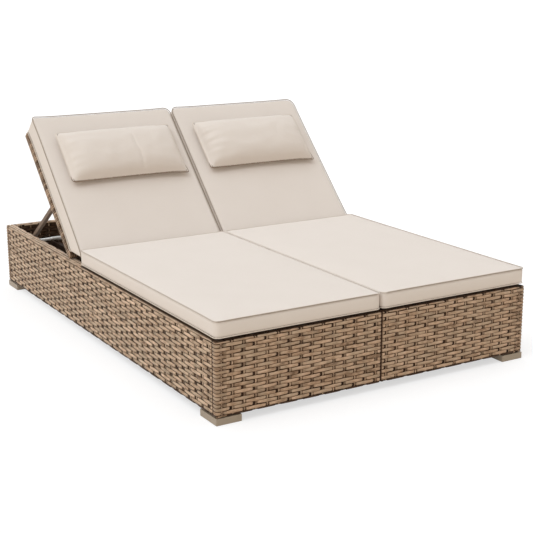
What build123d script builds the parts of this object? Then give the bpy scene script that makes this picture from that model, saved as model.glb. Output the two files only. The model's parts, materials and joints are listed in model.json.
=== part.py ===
from build123d import *
from math import asin, cos, degrees, radians, sin
import os

# Double chaise lounger with two separately adjustable backs.
# Millimetres. +X is to the right seen from the foot end, +Y runs from the foot end to the head end,
# +Z is up, and the origin lies on the floor under the middle of the base.
# Each piece is drawn for the right-hand half and mirrored in the YZ plane for the left-hand half.

# Overall base
BASE_LENGTH = 2000.0
BASE_WIDTH = 1300.0
RIM_HEIGHT = 284.0
FOOT_HEIGHT = 25.0

# Woven panels over tube frames
PANEL_TUBE = 32.0
PANEL_TUBE_WALL = 1.5
WEAVE_WALL = 4.0
SEAM_GAP = 1.0
SIDE_POSTS = 5
END_POSTS = 3

# Feet and glides
FOOT_WIDTH = 94.0
FOOT_LENGTH = 111.0
FOOT_WALL = 3.0
GLIDE_PROUD = 1.5
GLIDE_HEIGHT = 9.0

# Deck under the seat cushions
DECK_PROUD = 8.0
SLAT_WIDTH = 40.0
SLAT_HEIGHT = 20.0
SLAT_WALL = 1.2
SLAT_COUNT = 9
SLAT_END_GAP = 2.0
SLAT_TO_PANEL = 14.0
SLAT_TO_HINGE = 32.0
DECK_RAIL = 20.0
DECK_RAIL_WALL = 1.5
BEAM_WIDTH = 40.0
BEAM_HEIGHT = 40.0
BEAM_WALL = 2.0
CENTRE_LEG = 40.0

# Back frames
BACK_LENGTH = 612.0
BACK_ANGLE = 45.0
BACK_SIDE_INSET = 8.0
BACK_GAP = 6.0
BACK_TUBE = 25.0
BACK_TUBE_WALL = 1.5
BACK_WEAVE_WALL = 4.0
SKIN_FIT = 0.1
BACK_RIM_GAP = 0.5
UPPER_CROSS_RAIL_ALONG = 450.0

# Hinges of the backs
HINGE_PLAY = 0.3
HINGE_RING_WALL = 3.5
HINGE_WIDTH = 24.0
HINGE_SIDE_PLAY = 2.5
HINGE_NOTCH_DEPTH = 22.0
HINGE_STEM = 16.0
HINGE_PLATE = 4.0
HINGE_PLATE_WIDTH = 56.0
HINGE_SCREW_SPACING = 40.0
HINGE_RAIL_WIDTH = 30.0
HINGE_RAIL_HEIGHT = 40.0
HINGE_INNER_PLACE = 62.0
HINGE_OUTER_INSET = 48.0

# Stays that prop the backs
STAY_LENGTH = 419.0
STAY_TUBE = 16.0
STAY_TUBE_WALL = 1.5
PIVOT_ALONG = 280.0
PIVOT_BEHIND = 32.0
PIVOT_PIN_RADIUS = 5.0
PIN_FIT = 0.05
PIVOT_HEAD_RADIUS = 8.0
PIVOT_HEAD_LENGTH = 3.0
EAR_THICKNESS = 4.0
EAR_RADIUS = 11.0
EAR_PLAY = 0.5
BAR_HEIGHT = 238.0
BAR_RADIUS = 6.0
SLEEVE_RADIUS = 7.5
SLEEVE_LENGTH = 44.0
STAY_END_CLEARANCE = 4.0
STAY_SIDE_CLEARANCE = 4.0
STAY_INNER_PLACE = 48.0

# Racks that the stays stand on
RACK_SPREAD = 156.0
RACK_THICKNESS = 4.0
RACK_CLEARANCE = 0.4
RACK_NOTCH_DEPTH = 6.0
RACK_ROOT = 3.5
RACK_END_MARGIN = 16.0
RACK_TAIL = 6.0
RACK_RAIL = 20.0
RACK_RAIL_WALL = 1.5
HANGER_THICKNESS = 5.0
HANGER_WIDTH = 30.0
LOCK_ANGLE_SHARES = (1.0, 0.8, 0.6, 0.4)
PATH_STEPS = 90

# Cushions and pillows
CUSHION_REST = 0.3
COVER_WALL = 1.5
CORE_FIT = 0.3
SEAT_CUSHION_EDGE = 56.7
SEAT_CROWN = 6.0
CUSHION_INSET = 2.0
CUSHION_GAP = 5.0
SEAT_TO_HINGE = 128.0
SEAT_DRAW = 4.0
SEAT_CORNER_RADIUS = 22.0
BACK_CUSHION_EDGE = 91.0
BACK_CROWN = 8.0
BACK_CUSHION_OVER_TOP = 10.0
BACK_CUSHION_REACH = 130.0
BACK_DRAW = 5.0
BACK_CORNER_RADIUS = 46.0
NOSE_HEIGHT = 313.0
NOSE_GAP = 4.0
FAINT_CROWN = 0.5
PILLOW_WIDTH = 522.0
PILLOW_HEIGHT = 252.0
PILLOW_MIDDLE_ALONG = 376.0
PILLOW_FRONT_BULGE = 54.0
PILLOW_REAR_BULGE = 14.0
PILLOW_EDGE = 9.0
PILLOW_DRAW = 8.0
PILLOW_CORNER_RADIUS = 12.0
PILLOW_END_FRONT = 9.0
PILLOW_END_REAR = 4.0
PILLOW_SECTION_SHARES = (
    (0.0, 0.0, 0.0),
    (0.16, 0.78, 0.6),
    (0.5, 1.0, 1.0),
    (0.84, 0.78, 0.6),
    (1.0, 0.0, 0.0),
)
STRIP_WIDTH = 180.0
STRIP_HEIGHT = 25.0
STRIP_THICKNESS = 2.4

# Fasteners
BOLT_RADIUS = 3.0
BOLT_HEAD_RADIUS = 6.0
BOLT_HEAD = 4.0
BOLT_GRIP = 6.0
HOLE_PLAY = 0.2
SCREW_RADIUS = 2.5
SCREW_HEAD_RADIUS = 4.5
SCREW_HEAD = 3.0
FOOT_SCREW_SPACING = 50.0
PANEL_BOLT_LOW = 60.0
PANEL_BOLT_HIGH = 60.0

# One overrun for every cut
OVERRUN = 10.0

# Places that follow from the sizes above
half_length = BASE_LENGTH / 2
half_width = BASE_WIDTH / 2
panel = PANEL_TUBE + 2 * WEAVE_WALL
well_side = half_width - panel
well_end = half_length - panel
deck_top = RIM_HEIGHT + DECK_PROUD
deck_bottom = deck_top - SLAT_HEIGHT
back_half = BACK_TUBE / 2 + BACK_WEAVE_WALL
hinge_z = RIM_HEIGHT + BACK_RIM_GAP + back_half
back_inner = BACK_GAP / 2
back_outer = half_width - BACK_SIDE_INSET
stay_outer_place = well_side - STAY_SIDE_CLEARANCE - STAY_TUBE / 2
stay_middle = (stay_outer_place + STAY_INNER_PLACE) / 2
rack_places = (stay_middle - RACK_SPREAD, stay_middle + RACK_SPREAD)
hinge_places = (HINGE_INNER_PLACE, well_side - HINGE_OUTER_INSET)
leg_places = (STAY_INNER_PLACE, stay_outer_place)


def pivot_offset(angle):
    """Pivot of the stay from the hinge axis, with the back raised by an angle."""
    turn = radians(angle)
    along = PIVOT_ALONG * cos(turn) + PIVOT_BEHIND * sin(turn)
    up = PIVOT_ALONG * sin(turn) - PIVOT_BEHIND * cos(turn)
    return along, up


def stay_slope(angle):
    """Angle of the stay below the horizontal, with its crossbar at its height on the racks."""
    drop = hinge_z + pivot_offset(angle)[1] - BAR_HEIGHT
    return degrees(asin(drop / STAY_LENGTH))


stay_rest_turn = stay_slope(BACK_ANGLE) + BACK_ANGLE
stay_flat_turn = stay_slope(0)
stay_ratio = (stay_rest_turn - stay_flat_turn) / BACK_ANGLE


def bar_offset(angle):
    """Crossbar from the hinge axis, with the stay turning at its constant ratio to the back."""
    along, up = pivot_offset(angle)
    slope = radians(stay_rest_turn - stay_ratio * (BACK_ANGLE - angle) - angle)
    return along + STAY_LENGTH * cos(slope), up - STAY_LENGTH * sin(slope)


hinge_y = well_end - STAY_END_CLEARANCE - STAY_TUBE / 2 - bar_offset(0)[0]
bar_path = [bar_offset(BACK_ANGLE * step / PATH_STEPS) for step in range(PATH_STEPS + 1)]
rack_top = hinge_z + min(up for along, up in bar_path) - SLEEVE_RADIUS - RACK_CLEARANCE
rack_rail_top = rack_top - RACK_NOTCH_DEPTH - RACK_ROOT
seat_front = -half_length + CUSHION_INSET
seat_rear = hinge_y - SEAT_TO_HINGE


def block(x0, x1, y0, y1, z0, z1):
    """Rectangular block between two corners."""
    middle = ((x0 + x1) / 2, (y0 + y1) / 2, (z0 + z1) / 2)
    return Pos(*middle) * Box(x1 - x0, y1 - y0, z1 - z0)


def inside(corners, wall):
    """Corners of the hollow inside a block with one wall all round."""
    x0, x1, y0, y1, z0, z1 = corners
    return (x0 + wall, x1 - wall, y0 + wall, y1 - wall, z0 + wall, z1 - wall)


def grown(corners, play):
    """Corners of a block with the same play all round."""
    return inside(corners, -play)


def shell(corners, wall):
    """Closed hollow block."""
    return block(*corners) - block(*inside(corners, wall))


def weldment(tubes, wall):
    """Closed tubes welded into one frame."""
    solid = block(*tubes[0])
    for corners in tubes[1:]:
        solid += block(*corners)
    for corners in tubes:
        solid -= block(*inside(corners, wall))
    return solid


def rod_x(x0, x1, y, z, radius):
    """Round rod along X."""
    return Pos((x0 + x1) / 2, y, z) * Rot(0, 90, 0) * Cylinder(radius, x1 - x0)


def rod_z(x, y, z0, z1, radius):
    """Round rod along Z."""
    return Pos(x, y, (z0 + z1) / 2) * Cylinder(radius, z1 - z0)


def mirrored(shape):
    """The same piece on the other half of the lounger."""
    return shape.mirror(Plane.YZ)


def save(name, pieces):
    """Write the solids of one node."""
    solids = [solid for piece in pieces for solid in piece.solids()]
    node = solids[0] if len(solids) == 1 else Compound(children=solids)
    node.label = name
    export_step(node, f"parts/{name}.step")


def save_pair(name, pieces):
    """Write a right-hand node and its left-hand mirror image."""
    save(f"{name}_right", pieces)
    save(f"{name}_left", [mirrored(piece) for piece in pieces])


def save_both(name, pieces):
    """Write one node that holds the pieces of both halves."""
    save(name, pieces + [mirrored(piece) for piece in pieces])


# Base panels

def spread(low, high, count):
    """Evenly spaced places from low to high."""
    return [low + (high - low) * step / (count - 1) for step in range(count)]


def panel_frame(corners, posts, along):
    """Ladder frame of square tube that fills the hollow of a woven panel."""
    x0, x1, y0, y1, z0, z1 = inside(corners, WEAVE_WALL)
    tubes = [(x0, x1, y0, y1, z0, z0 + PANEL_TUBE), (x0, x1, y0, y1, z1 - PANEL_TUBE, z1)]
    low, high = (y0, y1 - PANEL_TUBE) if along == "y" else (x0, x1 - PANEL_TUBE)
    for start in spread(low, high, posts):
        if along == "y":
            tubes.append((x0, x1, start, start + PANEL_TUBE, z0, z1))
        else:
            tubes.append((start, start + PANEL_TUBE, y0, y1, z0, z1))
    return weldment(tubes, PANEL_TUBE_WALL)


side_panel = (well_side, half_width, -half_length, half_length, FOOT_HEIGHT, RIM_HEIGHT)
front_panel = (SEAM_GAP / 2, well_side, -half_length, -well_end, FOOT_HEIGHT, RIM_HEIGHT)
back_panel = (SEAM_GAP / 2, well_side, well_end, half_length, FOOT_HEIGHT, RIM_HEIGHT)
panel_middle = half_length - panel / 2
side_middle = half_width - panel / 2
bolt_heights = (FOOT_HEIGHT + PANEL_BOLT_LOW, RIM_HEIGHT - PANEL_BOLT_HIGH)
foot_screw_rows = (panel_middle, panel_middle - FOOT_SCREW_SPACING)


def corner_bolt(y, z):
    """Bolt from the end post of a front or back panel into the side panel."""
    head_end = well_side - WEAVE_WALL - PANEL_TUBE
    tip = well_side + WEAVE_WALL + BOLT_GRIP
    shank = rod_x(head_end, tip, y, z, BOLT_RADIUS)
    return shank + rod_x(head_end - BOLT_HEAD, head_end, y, z, BOLT_HEAD_RADIUS)


def seam_bolt(y, z):
    """Bolt through the two posts that meet at the middle seam, with a head at each end."""
    reach = SEAM_GAP / 2 + WEAVE_WALL + PANEL_TUBE
    bolt = rod_x(-reach, reach, y, z, BOLT_RADIUS)
    bolt += rod_x(reach, reach + BOLT_HEAD, y, z, BOLT_HEAD_RADIUS)
    return bolt + rod_x(-reach - BOLT_HEAD, -reach, y, z, BOLT_HEAD_RADIUS)


def panel_bolt_holes():
    """Clearance holes of all the panel bolts on one half."""
    holes = []
    reach = SEAM_GAP / 2 + WEAVE_WALL + PANEL_TUBE
    start = well_side - WEAVE_WALL - PANEL_TUBE
    end = well_side + WEAVE_WALL + BOLT_GRIP
    for y in (-panel_middle, panel_middle):
        for z in bolt_heights:
            holes.append(rod_x(start, end, y, z, BOLT_RADIUS + HOLE_PLAY))
            holes.append(rod_x(-reach, reach, y, z, BOLT_RADIUS + HOLE_PLAY))
    return holes


def foot_screw_places():
    """Places of the foot screws on one half."""
    return [(side_middle, end * row) for end in (-1, 1) for row in foot_screw_rows]


def foot_screw_holes():
    """Clearance holes of the foot screws on one half."""
    top = FOOT_HEIGHT + WEAVE_WALL + BOLT_GRIP
    low = FOOT_HEIGHT - FOOT_WALL
    return [rod_z(x, y, low, top, BOLT_RADIUS + HOLE_PLAY) for x, y in foot_screw_places()]


def cut_all(shape, cutters):
    """Take a list of cutters out of a shape."""
    for cutter in cutters:
        shape -= cutter
    return shape


# Feet

def foot(y0, y1):
    """Pressed foot, open below, that screws up into the side panel."""
    outer = (half_width - FOOT_WIDTH, half_width, y0, y1, GLIDE_PROUD, FOOT_HEIGHT)
    x0, x1, inner_y0, inner_y1, z0, z1 = inside(outer, FOOT_WALL)
    return block(*outer) - block(x0, x1, inner_y0, inner_y1, z0 - OVERRUN, z1)


def glide(y0, y1):
    """Plastic pad that plugs the open underside of a foot."""
    outer = (half_width - FOOT_WIDTH, half_width, y0, y1, GLIDE_PROUD, FOOT_HEIGHT)
    x0, x1, inner_y0, inner_y1 = inside(outer, FOOT_WALL)[:4]
    return block(x0, x1, inner_y0, inner_y1, 0, GLIDE_HEIGHT)


def foot_screw(x, y):
    """Screw with its head inside the foot."""
    seat = FOOT_HEIGHT - FOOT_WALL
    shank = rod_z(x, y, seat, FOOT_HEIGHT + WEAVE_WALL + BOLT_GRIP, BOLT_RADIUS)
    return shank + rod_z(x, y, seat - BOLT_HEAD, seat, BOLT_HEAD_RADIUS)


# Deck

slat_starts = spread(-well_end + SLAT_TO_PANEL, hinge_y - SLAT_TO_HINGE - SLAT_WIDTH, SLAT_COUNT)
deck_rail_rear = hinge_y + HINGE_RAIL_WIDTH / 2


def deck_rail():
    """Tube along the side panel that carries the outer ends of the slats."""
    low = deck_bottom - DECK_RAIL
    tube = (well_side - DECK_RAIL, well_side, -well_end, deck_rail_rear, low, deck_bottom)
    return shell(tube, DECK_RAIL_WALL)


def slat(start):
    """Flat tube across one half of the deck."""
    tube = (SLAT_END_GAP, well_side - SLAT_END_GAP, start, start + SLAT_WIDTH, deck_bottom, deck_top)
    return shell(tube, SLAT_WALL)


def slat_screw(start):
    """Screw from under the deck rail into a slat."""
    x = well_side - DECK_RAIL / 2
    y = start + SLAT_WIDTH / 2
    seat = deck_bottom - DECK_RAIL
    shank = rod_z(x, y, seat, deck_bottom + BOLT_GRIP, SCREW_RADIUS)
    return shank + rod_z(x, y, seat - SCREW_HEAD, seat, SCREW_HEAD_RADIUS)


def slat_screw_holes():
    """Clearance holes of the slat screws."""
    x = well_side - DECK_RAIL / 2
    low = deck_bottom - DECK_RAIL
    radius = SCREW_RADIUS + HOLE_PLAY
    return [rod_z(x, y + SLAT_WIDTH / 2, low, deck_bottom + BOLT_GRIP, radius) for y in slat_starts]


def centre_beam():
    """Tube under the middle from the front panels to the back panels."""
    half = BEAM_WIDTH / 2
    return shell((-half, half, -well_end, well_end, deck_bottom - BEAM_HEIGHT, deck_bottom), BEAM_WALL)


def centre_leg():
    """Post under the middle of the beam, level with the hinge rails."""
    half = CENTRE_LEG / 2
    leg = (-half, half, hinge_y - half, hinge_y + half, GLIDE_PROUD, deck_bottom - BEAM_HEIGHT)
    x0, x1, y0, y1, z0, z1 = inside(leg, BEAM_WALL)
    return block(*leg) - block(x0, x1, y0, y1, z0 - OVERRUN, z1)


def centre_glide():
    """Pad that plugs the foot of the middle post."""
    reach = CENTRE_LEG / 2 - BEAM_WALL
    return block(-reach, reach, hinge_y - reach, hinge_y + reach, 0, GLIDE_HEIGHT)


# Hinges on the base

def hinge_rail():
    """Cross tube that carries the hinge brackets of one back."""
    half = HINGE_RAIL_WIDTH / 2
    low = deck_bottom - HINGE_RAIL_HEIGHT
    tube = (BEAM_WIDTH / 2, well_side - DECK_RAIL, hinge_y - half, hinge_y + half, low, deck_bottom)
    return shell(tube, BEAM_WALL)


def hinge_bracket(x):
    """Ring round the bare lower tube of the back, on a stem and a base plate."""
    reach = HINGE_WIDTH / 2
    inner = BACK_TUBE / 2 + HINGE_PLAY
    outer = inner + HINGE_RING_WALL
    plate_top = deck_bottom + HINGE_PLATE
    ring = rod_x(x - reach, x + reach, hinge_y, hinge_z, outer)
    deep = HINGE_STEM / 2
    stem = block(x - reach, x + reach, hinge_y - deep, hinge_y + deep, plate_top, hinge_z)
    half = HINGE_RAIL_WIDTH / 2
    side = HINGE_PLATE_WIDTH / 2
    plate = block(x - side, x + side, hinge_y - half, hinge_y + half, deck_bottom, plate_top)
    bracket = ring + stem + plate - rod_x(x - reach, x + reach, hinge_y, hinge_z, inner)
    return cut_all(bracket, hinge_screw_holes(x))


def hinge_screw_places(x):
    """Places of the two screws of a hinge bracket."""
    return (x - HINGE_SCREW_SPACING / 2, x + HINGE_SCREW_SPACING / 2)


def hinge_screw(x):
    """Screw that holds a hinge bracket down on its rail."""
    top = deck_bottom + HINGE_PLATE
    shank = rod_z(x, hinge_y, deck_bottom - BOLT_GRIP, top, SCREW_RADIUS)
    return shank + rod_z(x, hinge_y, top, top + SCREW_HEAD, SCREW_HEAD_RADIUS)


def hinge_screw_holes(x):
    """Clearance holes of the two screws of a hinge bracket."""
    low = deck_bottom - BOLT_GRIP
    top = deck_bottom + HINGE_PLATE
    radius = SCREW_RADIUS + HOLE_PLAY
    return [rod_z(place, hinge_y, low, top, radius) for place in hinge_screw_places(x)]


# Racks

def rack_hanger(x):
    """Plate that hangs the front end of a rack rail from the hinge rail."""
    front = hinge_y + HINGE_RAIL_WIDTH / 2
    half = HANGER_WIDTH / 2
    low = rack_rail_top - RACK_RAIL
    return block(x - half, x + half, front, front + HANGER_THICKNESS, low, deck_bottom)


def rack_rail(x):
    """Tube along the well under a rack, from its hanger to the back panel."""
    front = hinge_y + HINGE_RAIL_WIDTH / 2 + HANGER_THICKNESS
    half = RACK_RAIL / 2
    low = rack_rail_top - RACK_RAIL
    return shell((x - half, x + half, front, well_end, low, rack_rail_top), RACK_RAIL_WALL)


def rack(x):
    """Toothed plate with one notch for each raised position of the back."""
    start = hinge_y + bar_offset(BACK_ANGLE)[0] - RACK_END_MARGIN
    end = hinge_y + bar_offset(0)[0] + RACK_TAIL
    half = RACK_THICKNESS / 2
    plate = block(x - half, x + half, start, end, rack_rail_top, rack_top)
    radius = SLEEVE_RADIUS + RACK_CLEARANCE
    for share in LOCK_ANGLE_SHARES:
        along = bar_offset(BACK_ANGLE * share)[0]
        centre = rack_top - RACK_NOTCH_DEPTH + radius
        plate -= rod_x(x - half, x + half, hinge_y + along, centre, radius)
    return plate


# Backs, drawn lying along +Y from the hinge axis, with the cushion side up

def raised(shape):
    """Turn a piece of the back up to its rest angle and put it on its hinge."""
    return Pos(0, hinge_y, hinge_z) * Rot(BACK_ANGLE, 0, 0) * shape


half_tube = BACK_TUBE / 2
rail_inner = (back_inner + BACK_WEAVE_WALL, back_inner + BACK_WEAVE_WALL + BACK_TUBE)
rail_outer = (back_outer - BACK_WEAVE_WALL - BACK_TUBE, back_outer - BACK_WEAVE_WALL)
frame_top = BACK_LENGTH - BACK_WEAVE_WALL


def cross_tube(along):
    """Corners of a cross tube between the side tubes of a back."""
    return (rail_inner[1], rail_outer[0], along - half_tube, along + half_tube, -half_tube, half_tube)


def back_frame_tubes():
    """Corners of the square tubes of a back frame."""
    return [
        (rail_inner[0], rail_inner[1], half_tube, frame_top, -half_tube, half_tube),
        (rail_outer[0], rail_outer[1], half_tube, frame_top, -half_tube, half_tube),
        cross_tube(frame_top - half_tube),
        cross_tube(PIVOT_ALONG),
        cross_tube(UPPER_CROSS_RAIL_ALONG),
    ]


def back_frame():
    """Welded frame with a round lower tube that turns in the hinge rings."""
    frame = weldment(back_frame_tubes(), BACK_TUBE_WALL)
    axle = rod_x(rail_inner[0], rail_outer[1], 0, 0, half_tube)
    for low, high in (rail_inner, rail_outer):
        axle += block(low, high, 0, half_tube, -half_tube, half_tube)
    start, end = rail_inner[0] + BACK_TUBE_WALL, rail_outer[1] - BACK_TUBE_WALL
    return frame + axle - rod_x(start, end, 0, 0, half_tube - BACK_TUBE_WALL)


def back_weave():
    """Woven skin round the outer tubes, with a woven panel on the cushion side."""
    skin = block(back_inner, back_outer, 0, BACK_LENGTH, -back_half, back_half)
    skin += rod_x(back_inner, back_outer, 0, 0, back_half)
    skin -= rod_x(rail_inner[0] - SKIN_FIT, rail_outer[1] + SKIN_FIT, 0, 0, half_tube + SKIN_FIT)
    tubes = [(low, high, 0, frame_top, -half_tube, half_tube) for low, high in (rail_inner, rail_outer)]
    tubes.append((rail_inner[0], rail_outer[1], frame_top - BACK_TUBE, frame_top, -half_tube, half_tube))
    tubes += [cross_tube(along) for along in (PIVOT_ALONG, UPPER_CROSS_RAIL_ALONG)]
    for tube in tubes:
        skin -= block(*grown(tube, SKIN_FIT))
    pocket_x = (rail_inner[1] + BACK_WEAVE_WALL, rail_outer[0] - BACK_WEAVE_WALL)
    pocket_y = (back_half, frame_top - BACK_TUBE - BACK_WEAVE_WALL)
    skin -= block(*pocket_x, *pocket_y, -back_half - OVERRUN, half_tube + SKIN_FIT)
    reach = HINGE_WIDTH / 2 + HINGE_SIDE_PLAY
    for x in hinge_places:
        low = -back_half - OVERRUN
        skin -= block(x - reach, x + reach, low, HINGE_NOTCH_DEPTH, low, -low)
    return skin


def ear_place(leg_place):
    """Inner and outer face of the ear beside one leg of a stay."""
    face = leg_place + STAY_TUBE / 2 + EAR_PLAY
    if leg_place == stay_outer_place:
        face = leg_place - STAY_TUBE / 2 - EAR_PLAY - EAR_THICKNESS
    return face, face + EAR_THICKNESS


def stay_ear(leg_place):
    """Plate under the cross tube that carries one pivot of the stay."""
    low, high = ear_place(leg_place)
    ear = rod_x(low, high, PIVOT_ALONG, -PIVOT_BEHIND, EAR_RADIUS)
    ear += block(low, high, PIVOT_ALONG - EAR_RADIUS, PIVOT_ALONG + EAR_RADIUS, -PIVOT_BEHIND, -half_tube)
    return ear - rod_x(low, high, PIVOT_ALONG, -PIVOT_BEHIND, PIVOT_PIN_RADIUS + PIN_FIT)


# Stays, drawn along +Y from their pivot

pivot_along, pivot_up = pivot_offset(BACK_ANGLE)


def propped(shape):
    """Turn a piece of the stay down to its rest slope and put it on its pivot."""
    place = Pos(0, hinge_y + pivot_along, hinge_z + pivot_up)
    return place * Rot(-stay_slope(BACK_ANGLE), 0, 0) * shape


def stay_leg(place):
    """Tube with rounded ends, bored for the pivot and for the crossbar."""
    half = STAY_TUBE / 2
    low, high = place - half, place + half
    leg = block(low, high, 0, STAY_LENGTH, -half, half)
    leg += rod_x(low, high, 0, 0, half)
    leg += rod_x(low, high, STAY_LENGTH, 0, half)
    hollow_end = STAY_LENGTH - STAY_TUBE
    leg -= block(low + STAY_TUBE_WALL, high - STAY_TUBE_WALL, STAY_TUBE, hollow_end,
                 STAY_TUBE_WALL - half, half - STAY_TUBE_WALL)
    leg -= rod_x(low, high, 0, 0, PIVOT_PIN_RADIUS + PIN_FIT)
    return leg - rod_x(low, high, STAY_LENGTH, 0, BAR_RADIUS + PIN_FIT)


def pivot_pin(place):
    """Headed pin through a leg and its ear."""
    half = STAY_TUBE / 2
    ear_low, ear_high = ear_place(place)
    if place == stay_outer_place:
        far = ear_low - EAR_PLAY
        pin = rod_x(far, place + half, 0, 0, PIVOT_PIN_RADIUS)
        return pin + rod_x(far - PIVOT_HEAD_LENGTH, far, 0, 0, PIVOT_HEAD_RADIUS)
    far = ear_high + EAR_PLAY
    pin = rod_x(place - half, far, 0, 0, PIVOT_PIN_RADIUS)
    return pin + rod_x(far, far + PIVOT_HEAD_LENGTH, 0, 0, PIVOT_HEAD_RADIUS)


def crossbar():
    """Rod across the lower ends of the two legs."""
    half = STAY_TUBE / 2
    return rod_x(STAY_INNER_PLACE - half, stay_outer_place + half, STAY_LENGTH, 0, BAR_RADIUS)


def rack_sleeve(place):
    """Plastic sleeve where the crossbar meets a rack."""
    half = SLEEVE_LENGTH / 2
    sleeve = rod_x(place - half, place + half, STAY_LENGTH, 0, SLEEVE_RADIUS)
    return sleeve - rod_x(place - half, place + half, STAY_LENGTH, 0, BAR_RADIUS + PIN_FIT)


# Cushions: a crowned top over an outline whose sides draw in between rounded corners

def drawn_outline(width, length, draw, radius):
    """Flat outline with its first corner at the origin."""
    corners = ((0, 0), (width, 0), (width, length), (0, length))
    middles = ((width / 2, draw), (width - draw, length / 2), (width / 2, length - draw), (draw, length / 2))
    sides = []
    for index, middle in enumerate(middles):
        sides.append(ThreePointArc(corners[index], middle, corners[(index + 1) % 4]))
    face = make_face(Wire(sides))
    return fillet(face.vertices(), radius)


def crown_section(y, width, edge, crown):
    """Upright section across a cushion, flat below and arched above."""
    left, right = (-OVERRUN, y, 0), (width + OVERRUN, y, 0)
    top_left, top_right = (-OVERRUN, y, edge), (width + OVERRUN, y, edge)
    arch = ThreePointArc(top_right, (width / 2, y, edge + crown), top_left)
    return make_face(Wire([Line(left, right), Line(right, top_right), arch, Line(top_left, left)]))


def pad(width, length, edge, crown, draw, radius, inset):
    """Crowned pad with its first lower corner at the origin, drawn in all round by an inset."""
    sections = []
    for y, rise in ((-OVERRUN, FAINT_CROWN), (length / 2, crown), (length + OVERRUN, FAINT_CROWN)):
        sections.append(crown_section(y, width, edge - inset, rise))
    body = loft(sections)
    outline = drawn_outline(width - 2 * inset, length - 2 * inset, draw, radius - inset)
    prism = extrude(Pos(inset, inset, inset) * outline, edge + crown)
    return body & prism


def cover_and_core(make):
    """Hollow cover and the core that fills it, from a function of the inset."""
    cover = make(0) - make(COVER_WALL)
    return cover, make(COVER_WALL + CORE_FIT)


seat_width = half_width - CUSHION_INSET - CUSHION_GAP / 2


def seat_pad(inset):
    """Seat cushion of one half, or the body inside its cover."""
    body = pad(seat_width, seat_rear - seat_front, SEAT_CUSHION_EDGE, SEAT_CROWN,
               SEAT_DRAW, SEAT_CORNER_RADIUS, inset)
    return Pos(CUSHION_GAP / 2, seat_front, deck_top + CUSHION_REST) * body


back_width = back_outer - CUSHION_GAP / 2
back_pad_low = back_half + CUSHION_REST
back_pad_length = BACK_LENGTH + BACK_CUSHION_OVER_TOP + BACK_CUSHION_REACH


def back_pad(inset):
    """Back cushion of one half, with its lower end pressed square against seat and deck."""
    body = pad(back_width, back_pad_length, BACK_CUSHION_EDGE, BACK_CROWN, BACK_DRAW,
               BACK_CORNER_RADIUS, inset)
    body = raised(Pos(CUSHION_GAP / 2, -BACK_CUSHION_REACH, back_pad_low) * body)
    keep = block(0, half_width, seat_rear + NOSE_GAP + inset, half_length + BASE_LENGTH,
                 NOSE_HEIGHT + inset, BASE_LENGTH)
    return body & keep


# Pillows: a flat welted edge all round and a full middle

def pillow_section(x, height, front, rear):
    """Upright section of a pillow across its height, in the YZ plane."""
    half = height / 2
    edge = PILLOW_EDGE / 2
    lower_rear, lower_front = (x, -half, -edge), (x, -half, edge)
    upper_rear, upper_front = (x, half, -edge), (x, half, edge)
    full = ThreePointArc(lower_front, (x, 0, edge + front), upper_front)
    flat = ThreePointArc(upper_rear, (x, 0, -edge - rear), lower_rear)
    return make_face(Wire([full, Line(upper_front, upper_rear), flat, Line(lower_rear, lower_front)]))


def pillow_pad(inset):
    """Pillow about its own middle, or the body inside its cover."""
    sections = []
    span = PILLOW_WIDTH + 2 * OVERRUN
    for share, fullness, pull in PILLOW_SECTION_SHARES:
        x = share * span - span / 2
        height = PILLOW_HEIGHT - PILLOW_DRAW * pull - 2 * inset
        front = PILLOW_END_FRONT + (PILLOW_FRONT_BULGE - PILLOW_END_FRONT) * fullness - inset
        rear = PILLOW_END_REAR + (PILLOW_REAR_BULGE - PILLOW_END_REAR) * fullness - inset
        sections.append(pillow_section(x, height, front, rear))
    width = PILLOW_WIDTH - 2 * inset
    height = PILLOW_HEIGHT - 2 * inset
    outline = drawn_outline(width, height, PILLOW_DRAW, PILLOW_CORNER_RADIUS - inset)
    low = -PILLOW_REAR_BULGE - PILLOW_EDGE
    prism = extrude(Pos(-width / 2, -height / 2, low) * outline, PILLOW_FRONT_BULGE - 2 * low)
    return loft(sections) & prism


pillow_off_middle = PILLOW_MIDDLE_ALONG - (back_pad_length / 2 - BACK_CUSHION_REACH)
crown_left = 1 - (pillow_off_middle / (back_pad_length / 2 + OVERRUN)) ** 2
cushion_front = back_pad_low + BACK_CUSHION_EDGE + BACK_CROWN * crown_left
strip_low = cushion_front + CUSHION_REST
pillow_middle = strip_low + STRIP_THICKNESS + CUSHION_REST + PILLOW_REAR_BULGE + PILLOW_EDGE / 2
back_middle = CUSHION_GAP / 2 + back_width / 2


def placed_pillow(inset):
    """Pillow on the front of its back cushion."""
    return raised(Pos(back_middle, PILLOW_MIDDLE_ALONG, pillow_middle) * pillow_pad(inset))


def pillow_strip():
    """Hook and loop strip that holds the pillow to the cushion."""
    half = STRIP_WIDTH / 2
    low = PILLOW_MIDDLE_ALONG - STRIP_HEIGHT / 2
    strip = block(back_middle - half, back_middle + half, low, low + STRIP_HEIGHT,
                  strip_low, strip_low + STRIP_THICKNESS)
    return raised(strip)


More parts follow.
